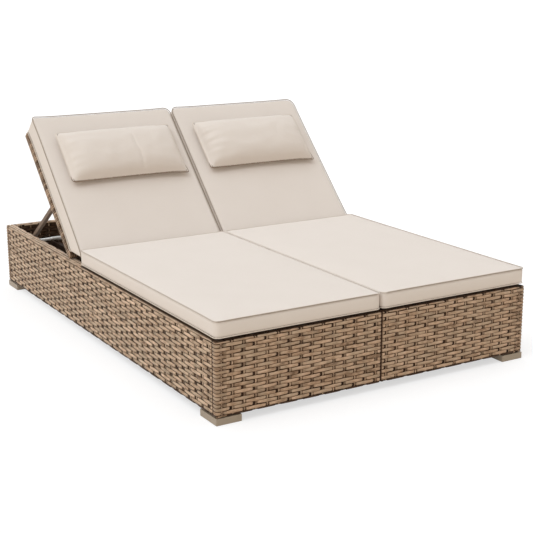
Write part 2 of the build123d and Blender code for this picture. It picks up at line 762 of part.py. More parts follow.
def build_base():
    """Write every node of the base."""
    bolt_holes = panel_bolt_holes()
    foot_holes = foot_screw_holes()
    side_holes = bolt_holes + foot_holes
    save_pair("side_frame", [cut_all(panel_frame(side_panel, SIDE_POSTS, "y"), side_holes)])
    save_pair("side_weave", [cut_all(shell(side_panel, WEAVE_WALL), side_holes)])
    save_pair("front_frame", [cut_all(panel_frame(front_panel, END_POSTS, "x"), bolt_holes)])
    save_pair("front_weave", [cut_all(shell(front_panel, WEAVE_WALL), bolt_holes)])
    save_pair("back_panel_frame", [cut_all(panel_frame(back_panel, END_POSTS, "x"), bolt_holes)])
    save_pair("back_panel_weave", [cut_all(shell(back_panel, WEAVE_WALL), bolt_holes)])
    front_foot = (-half_length, -half_length + FOOT_LENGTH)
    rear_foot = (half_length - FOOT_LENGTH, half_length)
    save_pair("foot_front", [cut_all(foot(*front_foot), foot_holes)])
    save_pair("foot_rear", [cut_all(foot(*rear_foot), foot_holes)])
    glides = [glide(*front_foot), glide(*rear_foot)]
    save("foot_glides", glides + [mirrored(plug) for plug in glides] + [centre_glide()])
    save_both("foot_screws", [foot_screw(x, y) for x, y in foot_screw_places()])
    places = [(y, z) for y in (-panel_middle, panel_middle) for z in bolt_heights]
    corner_bolts = [corner_bolt(y, z) for y, z in places]
    seam_bolts = [seam_bolt(y, z) for y, z in places]
    save("panel_bolts", corner_bolts + [mirrored(bolt) for bolt in corner_bolts] + seam_bolts)
    screw_holes = slat_screw_holes()
    save("centre_beam", [centre_beam()])
    save("centre_leg", [centre_leg()])
    save_both("deck_rails", [cut_all(deck_rail(), screw_holes)])
    save_pair("seat_slats", [cut_all(slat(start), screw_holes) for start in slat_starts])
    save_both("slat_screws", [slat_screw(start) for start in slat_starts])


def build_hinges_and_racks():
    """Write the hinge and rack nodes of the base."""
    rail = hinge_rail()
    for x in hinge_places:
        rail = cut_all(rail, hinge_screw_holes(x))
    save_both("hinge_rails", [rail])
    save_pair("hinge_brackets", [hinge_bracket(x) for x in hinge_places])
    screws = [hinge_screw(place) for x in hinge_places for place in hinge_screw_places(x)]
    save_both("hinge_screws", screws)
    save_both("rack_hangers", [rack_hanger(x) for x in rack_places])
    save_both("rack_rails", [rack_rail(x) for x in rack_places])
    save_both("racks", [rack(x) for x in rack_places])


def build_backs_and_stays():
    """Write every node of the two backs and their stays."""
    save_pair("backrest_frame", [raised(back_frame())])
    save_pair("backrest_weave", [raised(back_weave())])
    save_pair("stay_ears", [raised(stay_ear(place)) for place in leg_places])
    save_pair("stay_legs", [propped(stay_leg(place)) for place in leg_places])
    save_pair("stay_pins", [propped(pivot_pin(place)) for place in leg_places])
    save_pair("stay_crossbar", [propped(crossbar())])
    save_pair("stay_sleeves", [propped(rack_sleeve(place)) for place in rack_places])


def build_soft_pieces():
    """Write the cushions, the pillows and what fills them."""
    for name, make in (("seat_cushion", seat_pad), ("back_cushion", back_pad), ("pillow", placed_pillow)):
        cover, core = cover_and_core(make)
        save_pair(f"{name}_cover", [cover])
        save_pair(f"{name}_core", [core])
    save_pair("pillow_strip", [pillow_strip()])


def report_sizes():
    """Print the places that the joints use."""
    print("hinge axis y, z:", round(hinge_y, 3), round(hinge_z, 3))
    print("stay pivot y, z:", round(hinge_y + pivot_along, 3), round(hinge_z + pivot_up, 3))
    print("stay turn per degree of back:", round(stay_ratio, 5))
    print("full turn of the stay:", round(stay_ratio * BACK_ANGLE, 3))
    heights = [hinge_z + up for along, up in bar_path]
    print("crossbar height over the travel:", round(min(heights), 2), round(max(heights), 2))
    print("racks at x:", [round(x, 2) for x in rack_places], "tooth tips at z:", round(rack_top, 2))


os.makedirs("parts", exist_ok=True)
build_base()
build_hinges_and_racks()
build_backs_and_stays()
build_soft_pieces()
report_sizes()
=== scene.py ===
# %% [markdown]
# # A woven double chaise lounger
# The lounger arrives as a imported CAD frame: tubes, hinges, racks and stays at their real size, in metres.
# This lesson dresses it. Woven strands go round the panels, cushions and pillows are sewn and blown up, and
# every bare part gets a finish. The frame is loaded first.

# %% Load the frame
import json
import math

import bmesh
import bpy
import numpy as np
from mathutils import Matrix, Vector, noise


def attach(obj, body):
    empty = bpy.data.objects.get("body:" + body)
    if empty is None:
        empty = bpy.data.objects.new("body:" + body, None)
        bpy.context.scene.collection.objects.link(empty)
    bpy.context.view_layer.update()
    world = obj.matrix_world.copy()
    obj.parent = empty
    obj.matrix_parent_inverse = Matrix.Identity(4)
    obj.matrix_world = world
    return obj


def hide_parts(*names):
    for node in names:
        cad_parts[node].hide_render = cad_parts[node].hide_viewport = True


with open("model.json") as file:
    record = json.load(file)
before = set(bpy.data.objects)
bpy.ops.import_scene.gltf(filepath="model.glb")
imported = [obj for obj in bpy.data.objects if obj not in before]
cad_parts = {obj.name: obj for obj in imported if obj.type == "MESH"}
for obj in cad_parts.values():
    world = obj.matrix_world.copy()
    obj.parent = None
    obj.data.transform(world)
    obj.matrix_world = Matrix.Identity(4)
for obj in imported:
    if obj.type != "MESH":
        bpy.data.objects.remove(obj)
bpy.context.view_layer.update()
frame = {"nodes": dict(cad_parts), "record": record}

# %% [markdown]
# ## Small helpers
# Putting something into the scene and reading or writing the points of a mesh come back all the time. Every
# dressed piece also rides on a body of the frame, so that it moves with it.

# %% Objects and points
def in_scene(name, data):
    item = bpy.data.objects.new(name, data)
    bpy.context.scene.collection.objects.link(item)
    return item


def mesh_of(shape, name):
    mesh = bpy.data.meshes.new(name)
    shape.to_mesh(mesh)
    shape.free()
    return mesh


def vertex_array(mesh):
    flat = np.empty(len(mesh.vertices) * 3)
    mesh.vertices.foreach_get("co", flat)
    return flat.reshape(-1, 3)


def set_vertices(mesh, places):
    mesh.vertices.foreach_set("co", np.asarray(places, dtype=np.float32).ravel())
    mesh.update()


def carried(name, mesh, material, body):
    """A smooth piece of one material that rides on a body of the frame."""
    mesh.polygons.foreach_set("use_smooth", [True] * len(mesh.polygons))
    mesh.materials.clear()
    mesh.materials.append(material)
    mesh.update()
    piece = in_scene(name, mesh)
    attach(piece, body)
    print(name, "faces:", len(mesh.polygons))
    return piece


print("helpers are ready")

# %% [markdown]
# ## Camera
# A photograph fixes the camera: where it stood, which way it looked and how long its lens was. These
# numbers come from matching the corners of the real lounger to the corners of the frame. The lens is long,
# so the lounger looks calm and hardly tapers towards the back.

# %% Camera at the photograph's place
CAMERA_PLACE = (-2.32037, -4.11425, 1.4482)
CAMERA_TURN = 30.83
CAMERA_DIP = 14.57
CAMERA_ROLL = -0.14
CAMERA_LENS = 79.70
SENSOR_WIDTH = 36.0

camera_data = bpy.data.cameras.new("photo_camera")
camera_data.lens = CAMERA_LENS
camera_data.sensor_width = SENSOR_WIDTH
camera_data.sensor_fit = "HORIZONTAL"
camera = in_scene("photo_camera", camera_data)
turn = Matrix.Rotation(math.radians(-CAMERA_TURN), 4, "Z")
dip = Matrix.Rotation(math.radians(90 - CAMERA_DIP), 4, "X")
roll = Matrix.Rotation(math.radians(CAMERA_ROLL), 4, "Z")
camera.matrix_world = Matrix.Translation(CAMERA_PLACE) @ turn @ dip @ roll
bpy.context.scene.camera = camera
print("camera looks", [round(value, 3) for value in camera.matrix_world.to_quaternion() @ Vector((0, 0, -1))])

# %% [markdown]
# ## Finishes as sums
# A procedural finish is arithmetic on positions: stretch a noise, cut it off, mix two colours with it.
# Here one small class stands for a value inside a shader, and Python's own plus and times add the Math
# nodes. Colours never go through it, because a Math node turns a colour grey: a Mix node mixes them.

# %% A value that adds its own Math nodes
class Amount:
    def __init__(self, nodes, socket):
        self.nodes, self.socket = nodes, socket

    def __add__(self, other):
        return self.nodes.maths("ADD", self, other)

    def __sub__(self, other):
        return self.nodes.maths("SUBTRACT", self, other)

    def __mul__(self, other):
        return self.nodes.maths("MULTIPLY", self, other)

    __radd__ = __add__


# %% A tree of nodes, and a finish under construction
class Nodes:
    def __init__(self, tree):
        self.tree = tree

    def node(self, kind, settings=None, sockets=None, out=0):
        node = self.tree.nodes.new(kind)
        for name, value in (settings or {}).items():
            setattr(node, name, value)
        for name, value in (sockets or {}).items():
            self.feed(node.inputs[name], value)
        return Amount(self, node.outputs[out])

    def feed(self, socket, value):
        """Link a value of the tree, or set a constant. A colour is given without its alpha."""
        if isinstance(value, Amount):
            self.tree.links.new(value.socket, socket)
        else:
            socket.default_value = (*value, 1) if socket.type == "RGBA" else value

    def maths(self, operation, *values):
        return self.node("ShaderNodeMath", {"operation": operation}, dict(enumerate(values)))

    def mix(self, share, first, second):
        return self.node("ShaderNodeMix", {"data_type": "RGBA"}, {0: share, 6: first, 7: second}, out=2)

    def place(self, scale=(1, 1, 1)):
        where = self.node("ShaderNodeTexCoord", out=3)
        return self.node("ShaderNodeMapping", sockets={"Vector": where, "Scale": scale})

    def axes(self, where):
        split = self.node("ShaderNodeSeparateXYZ", sockets={"Vector": where}).socket.node
        return [Amount(self, output) for output in split.outputs]

    def lane(self, x, y, z=0.0):
        return self.node("ShaderNodeCombineXYZ", sockets={"X": x, "Y": y, "Z": z})

    def noise(self, where, scale=1.0, detail=3.0, roughness=0.5):
        sockets = {"Vector": where, "Scale": scale, "Detail": detail, "Roughness": roughness}
        return self.node("ShaderNodeTexNoise", sockets=sockets)

    def between(self, value, low, high, new_low=0.0, new_high=1.0):
        sockets = {0: value, 1: low, 2: high, 3: new_low, 4: new_high}
        return self.node("ShaderNodeMapRange", sockets=sockets)

    def bump(self, height, strength, depth):
        sockets = {"Height": height, "Strength": strength, "Distance": depth}
        return self.node("ShaderNodeBump", sockets=sockets)

    def seen(self):
        """1 for what the camera, a reflection or a look through glass sees, 0 for light on things."""
        camera, glossy, clear = (self.node("ShaderNodeLightPath", out=index) for index in (0, 3, 6))
        return self.maths("MAXIMUM", self.maths("MAXIMUM", camera, glossy), clear)


class Finish(Nodes):
    def __init__(self, name, **fixed):
        self.material = bpy.data.materials.new(name)
        self.material.use_nodes = True
        super().__init__(self.material.node_tree)
        self.shader = self.tree.nodes["Principled BSDF"]
        for socket, value in fixed.items():
            self.set(socket.replace("_", " "), value)

    def set(self, socket, value):
        self.feed(self.shader.inputs[socket], value)


print("a finish is ready to be mixed")

# %% [markdown]
# ## Daylight studio
# The lounger stands on a plain white floor with soft shadows. Camera and reflections see a pale floor that
# glows a little, so that it reads as white paper while the shadow stays on it. The light that falls on the
# lounger meets a matt floor that throws a slightly warm light back up. The sky works the same way: it is
# white to look at, but lights the lounger weakly and warmly. Two wide suns give the form.

# %% Floor, lamps and sky
FLOOR_GLOW = (0.62, 0.62, 0.62)
FLOOR_COLOUR = (0.42, 0.42, 0.42)
FLOOR_BOUNCE = (0.82, 0.745, 0.655)
FLOOR_SIZE = 40
BLACK, WHITE = (0, 0, 0), (1, 1, 1)
SKY_TINT = (0.950, 0.852, 0.750)
SKY_LIGHT = 0.55


def studio_floor():
    shape = bmesh.new()
    bmesh.ops.create_grid(shape, x_segments=1, y_segments=1, size=FLOOR_SIZE)
    floor = in_scene("studio_floor", mesh_of(shape, "studio_floor"))
    finish = Finish("studio_paper", Roughness=1.0, Emission_Strength=1.0)
    seen = finish.seen()
    finish.set("Base Color", finish.mix(seen, FLOOR_BOUNCE, FLOOR_COLOUR))
    finish.set("Emission Color", finish.mix(seen, BLACK, FLOOR_GLOW))
    floor.data.materials.append(finish.material)


def soft_sun(name, source, spread, strength, colour):
    """Even light from one side of the sky, with shadows as soft as the spread is wide."""
    data = bpy.data.lights.new(name, "SUN")
    data.angle = math.radians(spread)
    data.energy = strength
    data.color = colour
    in_scene(name, data).rotation_euler = Vector(source).to_track_quat("Z", "Y").to_euler()


studio_floor()
soft_sun("key_sun", (-3.5, -0.9, 4.5), 50, 1.14, (0.98, 1.05, 1.12))
soft_sun("top_sun", (0.5, 1.3, 5.0), 80, 0.87, (0.93, 1.06, 1.19))

world = bpy.data.worlds.new("studio_air")
bpy.context.scene.world = world
world.use_nodes = True
sky = Nodes(world.node_tree)
background = world.node_tree.nodes["Background"]
seen = sky.seen()
sky.feed(background.inputs["Color"], sky.mix(seen, SKY_TINT, WHITE))
sky.feed(background.inputs["Strength"], sky.between(seen, 0.0, 1.0, SKY_LIGHT, 1.0))
bpy.context.scene.view_settings.view_transform = "Standard"
print("studio is lit")

# %% [markdown]
# ## Resin wicker
# The real panels are woven: upright stakes stand a good four centimetres apart, and flat strands with a low
# crown run past them, over one stake and under the next. Every second strand does the opposite, so the panel
# shows rows of short dashes like brickwork, with dark pockets where a strand dives behind a stake.
# A bump map can't show that from close by, so each strand is modelled. A strand is a long flat grid.
# The grid is made by an operator, and numpy then bends all the grids of a panel at once: along the
# panel, up its face, over the rounded rim and down its back.

# %% Flat strands
STRAND_WIDTH = 0.0118
STRAND_CROWN = 0.0023
COURSE = 0.0127
WEAVE_DEPTH = 0.0023
DIVE_START = 0.0092
DIVE_END = 0.0040
DIVE_SHIFT = 0.0024
DIVE_SLIP = 0.0016
CROSSING_SWELL = 0.13
SWELL_LENGTH = 0.011
STRAND_ARCH = 0.16
# Depth of a dark sheet inside each panel that stands in for the shade in its hollow.
SHADE_SHEET_DEPTH = 0.0066
STAKE_WIDTH = 0.0068
STAKE_CROWN = 0.0010
STEPS_PER_STAKE = 7
TUCK_DEPTH = 0.0045
TUCK_LENGTH = 0.005
PANEL_WIDTH = 0.040
PANEL_HEIGHT = 0.259
RIM_RADIUS = 0.009
FOOT_HEIGHT = 0.025


def lay_strand(shape, start, end, steps, row, across=5):
    """Flat grid: x runs along the strand in metres, y across it from -1 to 1, z keeps its row."""
    stretch = Matrix.Diagonal(((end - start) / 2, 1, 1, 1))
    place = Matrix.Translation(((start + end) / 2, 0, row))
    bmesh.ops.create_grid(shape, x_segments=steps, y_segments=across, size=1, matrix=place @ stretch)


def finish_strands(name, shape, bend, seed, body, material, replaced, mirrored=False):
    """Bend the flat grids of one piece, give each strand its tone and each point its painted shade."""
    mesh = mesh_of(shape, name)
    flat = vertex_array(mesh)
    rows = np.rint(flat[:, 2]).astype(int)
    chance = np.random.default_rng(seed)
    tones = chance.random(rows.max() + 1)
    tone = mesh.attributes.new("tone", "FLOAT", "POINT")
    tone.data.foreach_set("value", tones[rows].astype(np.float32))
    layer = mesh.uv_layers.new(name="strand")
    corners = np.empty(len(mesh.loops), dtype=np.int32)
    mesh.loops.foreach_get("vertex_index", corners)
    layer.data.foreach_set("uv", flat[corners][:, :2].astype(np.float32).ravel())
    places, depth = bend(flat[:, 0], flat[:, 1], rows, chance)
    set_vertices(mesh, places)
    # Painted shade per point, from 0 on a lit strand to 1 where shade falls deepest: pockets, gaps, under
    # cushions.
    painted_shade = mesh.attributes.new("painted_shade", "FLOAT", "POINT")
    painted_shade.data.foreach_set("value", np.clip(depth, 0, 1).astype(np.float32))
    piece = carried(name, mesh, material, body)
    if mirrored:
        mesh.flip_normals()
    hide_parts(replaced)


# %% The path round a panel
def round_section(t, width, height, radius):
    """Point and outward direction at a distance t round a rounded rectangle, from its outer foot upwards."""
    runs = [height - 2 * radius, width - 2 * radius] * 2
    arc = math.pi / 2 * radius
    centres = [(width / 2 - radius, height - radius), (radius - width / 2, height - radius),
               (radius - width / 2, radius), (width / 2 - radius, radius)]
    t = np.mod(t, sum(runs) + 4 * arc)
    point, away = np.zeros((len(t), 2)), np.zeros((len(t), 2))
    start = 0.0
    for side, (run, centre) in enumerate(zip(runs, centres)):
        angle = side * math.pi / 2
        normal = np.array([math.cos(angle), math.sin(angle)])
        ahead = np.array([-normal[1], normal[0]])
        on_run = (t >= start) & (t < start + run)
        point[on_run] = centre + normal * radius - ahead * run + np.outer(t[on_run] - start, ahead)
        away[on_run] = normal
        start += run
        on_arc = (t >= start) & (t < start + arc)
        turn = angle + (t[on_arc] - start) / radius
        away[on_arc] = np.stack([np.cos(turn), np.sin(turn)], 1)
        point[on_arc] = centre + radius * away[on_arc]
        start += arc
    return point[:, 0], point[:, 1], away


def section_length(width, height, radius):
    return 2 * (width + height) + (2 * math.pi - 8) * radius


def ease(value):
    value = np.clip(value, 0, 1)
    return value * value * (3 - 2 * value)


def over_under(along, pitch, rows, chance, start=DIVE_START):
    """1 where a strand lies on top and -1 where it has dived behind a stake, and how wide it is there."""
    crossing = np.clip(np.rint(along / pitch).astype(int), 0, None)
    slip = chance.uniform(-1, 1, (rows.max() + 1, crossing.max() + 1))[rows, crossing]
    low = np.mod(along + DIVE_SHIFT + DIVE_SLIP * slip - np.where(rows % 2 == 1, 0, pitch), 2 * pitch)
    away = np.minimum(low, 2 * pitch - low)
    arch = STRAND_ARCH * (away / pitch - 1) ** 2
    start = start * (1 + 0.25 * slip)
    wave = 1 - arch - (2 - arch) * ease((start - away) / (start - DIVE_END))
    return wave, 0.90 + 0.10 * wave + CROSSING_SWELL * np.exp(-((away - pitch) / SWELL_LENGTH) ** 2)


def stake_lift(along, course, stake):
    """1 where a stake is bared by a strand that dives behind it, 0 where strands cover it."""
    return np.clip(np.cos(math.pi * (along / course + 0.5 + stake % 2)), 0, 1) ** 0.7


# %% [markdown]
# ## Shade at the rim
# Light hardly reaches the gap between a seat cushion and the rim, or the rim's inner face. The soft studio
# light would leave both too pale, so the strands there get painted shade. Only in the open well behind the
# seat cushions does the first inner row get little of it and stay bright.

# %% Shade from the cushions
PANEL_AROUND = section_length(PANEL_WIDTH, PANEL_HEIGHT, RIM_RADIUS)
PANEL_COURSES = 2 * round(PANEL_AROUND / COURSE / 2)
PANEL_COURSE = PANEL_AROUND / PANEL_COURSES
FACE_END = PANEL_HEIGHT - 1.3 * RIM_RADIUS
TOP_END = FACE_END + PANEL_WIDTH - 0.4 * RIM_RADIUS
INNER_FACE, INNER_ROW_END = 0.2785, 0.2913
SEAT_END, WELL_START = 0.125, 0.13


def under_cushion(place):
    """How dark the shade is between a seat cushion and the rim it lies over."""
    return 0.80 * ease((place[:, 2] - FOOT_HEIGHT - 0.2545) / 0.0035) * (place[:, 1] < SEAT_END)


def inside_rim(centre, place):
    """How dark the shade is on the inner face of the rim."""
    lit = (centre < INNER_ROW_END) & (place[:, 1] > WELL_START)
    return ease((centre - INNER_FACE) / 0.004) * np.where(lit, 0.15, 0.68)


print("courses round a panel:", PANEL_COURSES, "of", round(PANEL_COURSE, 5), "m")

# %% [markdown]
# ## A whole panel
# One function weaves every panel of the base. On the long sides the strands of the face stop where the
# corner posts begin, and those on top of the rim run on and bend down over its ends.

# %% A woven panel
SIDE_DIVE, END_DIVE = 1.60, 0.96
SIDE_SHADE, END_SHADE = 1.35, 0.95
RIM_ROWS = (19, 21)


def woven_panel(name, foot, outward, length, stakes, inset, tucks, seed, replaced):
    """Weave that goes right round one panel of the base.

    foot is the middle of its foot at its start, on the left as its face is looked at, and outward points
    off that face. inset is how far the face stops short of both ends, where the corner posts begin, and
    tucks says at which ends the strands dive into a seam."""
    ahead = (-outward[1], outward[0], 0)
    pitch = (length - 2 * inset) / stakes
    dive = DIVE_START * (SIDE_DIVE if inset else END_DIVE)
    shade = SIDE_SHADE if inset else END_SHADE
    shade_sheet = PANEL_COURSES + stakes
    shape = bmesh.new()
    for row in range(PANEL_COURSES):
        height = (row + 0.5) * PANEL_COURSE
        short = 0.0
        if inset and height < TOP_END:
            short = inset if height < FACE_END else TUCK_LENGTH
        lay_strand(shape, short, length - short, round((length - 2 * short) / pitch * STEPS_PER_STAKE), row)
    for row in range(PANEL_COURSES, shade_sheet):
        lay_strand(shape, 0, PANEL_AROUND, PANEL_COURSES * 3, row, across=2)
    # A dark sheet behind weave and stakes, with full painted shade: it stands in for the shade in the hollow.
    lay_strand(shape, 0, PANEL_AROUND, PANEL_COURSES * 2, shade_sheet, across=2)

    def bend(along, across, rows, chance):
        weft, on_shade_sheet = rows < PANEL_COURSES, rows == shade_sheet
        wobble = chance.uniform(-1, 1, shade_sheet + 1)[rows]
        phase = chance.uniform(0, 6.28, shade_sheet + 1)[rows]
        wave, swell = over_under(along - inset - pitch / 2, pitch, rows, chance, dive)
        if inset:
            wave[(rows >= RIM_ROWS[0]) & (rows <= RIM_ROWS[1])] = 1
        drift = 0.0008 * np.sin(along * 11 + phase) + 0.0005 * np.sin(along * 37 + 2 * phase)
        centre = (rows + 0.5) * PANEL_COURSE
        top = (centre >= FACE_END) & (centre < TOP_END)
        start = np.where(centre < FACE_END, inset, 0.0)
        from_start = ease((TUCK_LENGTH - along + start) / TUCK_LENGTH) * tucks[0]
        from_end = ease((along - length + TUCK_LENGTH + start) / TUCK_LENGTH) * tucks[1]
        tuck = np.where(top & (inset > 0), 0, from_start + from_end)
        dived = WEAVE_DEPTH * (wave - 1) * (1 + 0.12 * wobble)
        weft_deep = dived - TUCK_DEPTH * tuck - STRAND_CROWN * across ** 2

        stake = rows - PANEL_COURSES
        lift = stake_lift(along, PANEL_COURSE, stake)
        if inset:
            lift[(along > 18.9 * PANEL_COURSE) & (along < 22.1 * PANEL_COURSE)] = 0
        cell = np.clip(along / PANEL_COURSE, 0, PANEL_COURSES).astype(int)
        # Bared stakes get painted shade of random strength.
        stub = shade * chance.uniform(0.0, 0.6, (shade_sheet + 1, PANEL_COURSES + 1))[rows, cell]
        stake_reach = inset + (stake + 0.5) * pitch - across * STAKE_WIDTH / 2 + 0.0006 * wobble
        stake_deep = -0.0036 + 0.0018 * lift - STAKE_CROWN * across ** 2

        trim = 0.006 if inset else 0.0
        shade_sheet_reach = np.clip((1 - across) * length / 2, trim, length - trim)
        reach = np.where(weft, along, np.where(on_shade_sheet, shade_sheet_reach, stake_reach))
        deep = np.where(weft, weft_deep, np.where(on_shade_sheet, -SHADE_SHEET_DEPTH, stake_deep))
        height = np.where(weft, centre + drift + across * STRAND_WIDTH / 2 * swell, along)
        out, up, away = round_section(height, PANEL_WIDTH, PANEL_HEIGHT, RIM_RADIUS)
        drop = np.zeros_like(reach)
        sink = deep.copy()
        for sign, edge in ((-1, 0.0), (1, length)) if inset else ():
            past = sign * (reach - edge) + RIM_RADIUS
            bent = weft & top & (past > 0)
            turn = np.minimum(past[bent] / RIM_RADIUS, math.pi / 2)
            radius = RIM_RADIUS + deep[bent]
            reach[bent] = edge + sign * (radius * np.sin(turn) - RIM_RADIUS)
            drop[bent] = RIM_RADIUS - radius * np.cos(turn) + (past[bent] - turn * RIM_RADIUS)
            sink[bent] = 0
        place = foot + np.outer(reach, ahead) + np.outer(out + away[:, 0] * sink, outward)
        place[:, 2] += up + away[:, 1] * sink - drop
        # Painted shade: pockets where a strand dives, tucks at seams, the rim's inner face, the gap under the
        # seats.
        weft_painted_shade = shade * (1 - wave) / 2 + tuck + inside_rim(centre, place)
        painted_shade = np.where(weft, weft_painted_shade, np.where(on_shade_sheet, 1, stub))
        return place, painted_shade + under_cushion(place)

    # The long sides get the lighter copy of the finish: painted light and sheen.
    material = lit_side_wicker if inset else wicker
    finish_strands(name, shape, bend, seed, "base", material, replaced)

# %% [markdown]
# ## The colour of the strands
# Each strand is moulded in several browns at once, so its tone drifts along its length, and no two strands
# start alike. The finish reads the strand's own map: one axis runs along it in metres, the other across it. A
# fine noise stretched along the strand gives the drawn grooves. The long sides get a lighter copy of the
# finish, as painted light and sheen where the sun and a grazing view fall on them. Painted shade darkens
# the edges of each strand, where the rows meet, and every point by the amount stored with it.

# %% Wicker finish
POCKET_SHADE = (0.034, 0.011, 0.002)


def wicker_finish(name, light, middle, dark, ashen):
    finish = Finish(name, Roughness=0.52, Specular_IOR_Level=0.14, Sheen_Weight=0.20, Sheen_Roughness=0.35)
    tone = finish.node("ShaderNodeAttribute", {"attribute_name": "tone"}, out=2)
    # Painted shade stored with each point: pockets, gaps and seams.
    painted_shade = finish.node("ShaderNodeAttribute", {"attribute_name": "painted_shade"}, out=2)
    along, across, _ = finish.axes(finish.node("ShaderNodeTexCoord", out=2))
    drift = finish.noise(finish.lane(along * 26, tone * 91, across * 0.4), detail=2.0, roughness=0.6)
    grooves = finish.noise(finish.lane(along * 60, tone * 57, across * 6), roughness=0.7)
    faded = finish.noise(finish.lane(along * 17, tone * 143), detail=1.0)
    shade = drift * 1.3 + tone * 0.28 - 0.29 + (grooves - 0.5) * 1.2
    low = finish.mix(finish.between(shade, 0.0, 0.5), dark, middle)
    colour = finish.mix(finish.between(shade, 0.45, 1.0), low, light)
    colour = finish.mix(finish.between(faded, 0.42, 0.62, 0.0, 0.45), colour, ashen)
    # Painted shade along the edges of each strand, where the rows meet.
    strand_edge_shade = finish.mix(finish.between(across * across, 0.45, 0.95, 0.0, 0.95), colour, dark)
    shadow = finish.between(painted_shade, 0.15, 0.72, 0.0, 0.97)
    finish.set("Base Color", finish.mix(shadow, strand_edge_shade, POCKET_SHADE))
    finish.set("Roughness", grooves * 0.22 + 0.42)
    finish.set("Normal", finish.bump(grooves, 0.5, 0.0006))
    return finish.material


wicker = wicker_finish("wicker", (0.75, 0.540, 0.386), (0.465, 0.312, 0.203), (0.095, 0.050, 0.024),
                       (0.44, 0.352, 0.254))
# A lighter copy for the long sides: painted light and sheen where the sun and a grazing view fall.
lit_side_wicker = wicker_finish("lit_side_wicker", (0.86, 0.648, 0.476), (0.540, 0.379, 0.257),
                                (0.108, 0.059, 0.027), (0.51, 0.421, 0.310))
print("wicker finish is mixed")

# %% [markdown]
# ## Panels of the base
# The two long sides carry the corner posts. Their weave stops nearly three centimetres short of each corner,
# where the post's own wrapping begins. The front and back panels are made in two halves that meet at the
# middle seam, where their strands dive.

# %% Long sides, front and back
HALF_LENGTH = 1.0
HALF_WIDTH = 0.650
POST_ON_SIDE = 0.027
SEAM_HALF = 0.0005
SIDE_STAKES = 43
END_STAKES = 14

panel_middle = HALF_WIDTH - PANEL_WIDTH / 2
end_middle = HALF_LENGTH - PANEL_WIDTH / 2
end_length = HALF_WIDTH - PANEL_WIDTH - SEAM_HALF

for hand, side, seed in (("right", 1, 11), ("left", -1, 12)):
    woven_panel("wicker_side_" + hand, (side * panel_middle, -side * HALF_LENGTH, FOOT_HEIGHT), (side, 0, 0),
                2 * HALF_LENGTH, SIDE_STAKES, POST_ON_SIDE, (True, True), seed, "side_weave_" + hand)
for hand, end, start, at_seam, seed in (
        ("left", -1, -SEAM_HALF - end_length, False, 13), ("right", -1, SEAM_HALF, True, 14),
        ("left", 1, -SEAM_HALF, True, 15), ("right", 1, SEAM_HALF + end_length, False, 16)):
    panel, weave = ("front_", "front_weave_") if end < 0 else ("back_", "back_panel_weave_")
    woven_panel("wicker_" + panel + hand, (start, end * end_middle, FOOT_HEIGHT), (0, end, 0), end_length,
                END_STAKES, 0.0, (at_seam, not at_seam), seed, weave + hand)

# %% [markdown]
# ## Corner posts
# At each corner the strands run round the post: they start in a groove on the long side, bend round the edge
# and end where the front or back panel begins. They keep the courses and the brickwork of the panel beside
# them, so the rows read as one band round the base.

# %% Four wrapped corners
POST_RADIUS = 0.008
POST_STAKE = 0.022
POST_ROWS = 21
POST_SHADE = 0.22


def corner_post(name, side, end, seed):
    """Strands round one corner. side is -1 for left and 1 for right, end is -1 for front and 1 for back."""
    arc = POST_RADIUS * math.pi / 2
    on_side = POST_ON_SIDE - POST_RADIUS
    length = on_side + arc + PANEL_WIDTH - POST_RADIUS
    stake_along = on_side + arc + POST_STAKE - POST_RADIUS
    diving = 1 if side * end > 0 else END_STAKES % 2
    shape = bmesh.new()
    for row in range(POST_ROWS):
        lay_strand(shape, 0, length, 18, row)
    lay_strand(shape, 0, PANEL_HEIGHT - RIM_RADIUS, 40, POST_ROWS, across=2)

    def bend(along, across, rows, chance):
        wobble = chance.uniform(-1, 1, POST_ROWS + 1)[rows]
        weft = rows < POST_ROWS
        away = np.abs(along - stake_along + 0.0015 * wobble)
        wave = 1 - 1.2 * ease((DIVE_START - away) / (DIVE_START - DIVE_END)) * (rows % 2 == diving)
        centre = (rows - 0.5) * PANEL_COURSE + 0.0004 * wobble
        height = np.where(weft, centre + across * STRAND_WIDTH / 2 * (0.90 + 0.10 * wave), along - RIM_RADIUS)
        face, up, tilt = round_section(height, PANEL_WIDTH, PANEL_HEIGHT, RIM_RADIUS)
        groove = ease((TUCK_LENGTH - along) / TUCK_LENGTH)
        weft_deep = WEAVE_DEPTH * (wave - 1) - STRAND_CROWN * across ** 2 - TUCK_DEPTH * groove - 0.0001
        deep = np.where(weft, weft_deep, -0.0032 - STAKE_CROWN * across ** 2)
        # Painted shade: a little over the whole post, more in its pockets and groove, and on its stake.
        painted_shade = np.where(weft, POST_SHADE + (1 - wave) * 0.24 + groove, 0.25)
        run = np.where(weft, along, stake_along + across * STAKE_WIDTH / 2)
        turn = np.clip((run - on_side) / POST_RADIUS, 0, math.pi / 2)
        before, after = np.clip(on_side - run, 0, None), np.clip(run - on_side - arc, 0, None)
        radius = POST_RADIUS + deep * tilt[:, 0] - PANEL_WIDTH / 2 + face
        out = HALF_WIDTH - POST_RADIUS + radius * np.cos(turn) - after
        ahead = HALF_LENGTH - POST_RADIUS + radius * np.sin(turn) - before
        place = np.stack([side * out, end * ahead, FOOT_HEIGHT + up + deep * tilt[:, 1]], 1)
        return place, painted_shade + under_cushion(place)

    replaced = "side_weave_" + ("left" if side < 0 else "right")
    finish_strands(name, shape, bend, seed, "base", wicker, replaced, mirrored=side * end < 0)


for name, side, end, seed in (("front_left", -1, -1, 21), ("front_right", 1, -1, 22),
                              ("rear_left", -1, 1, 23), ("rear_right", 1, 1, 24)):
    corner_post("wicker_post_" + name, side, end, seed)

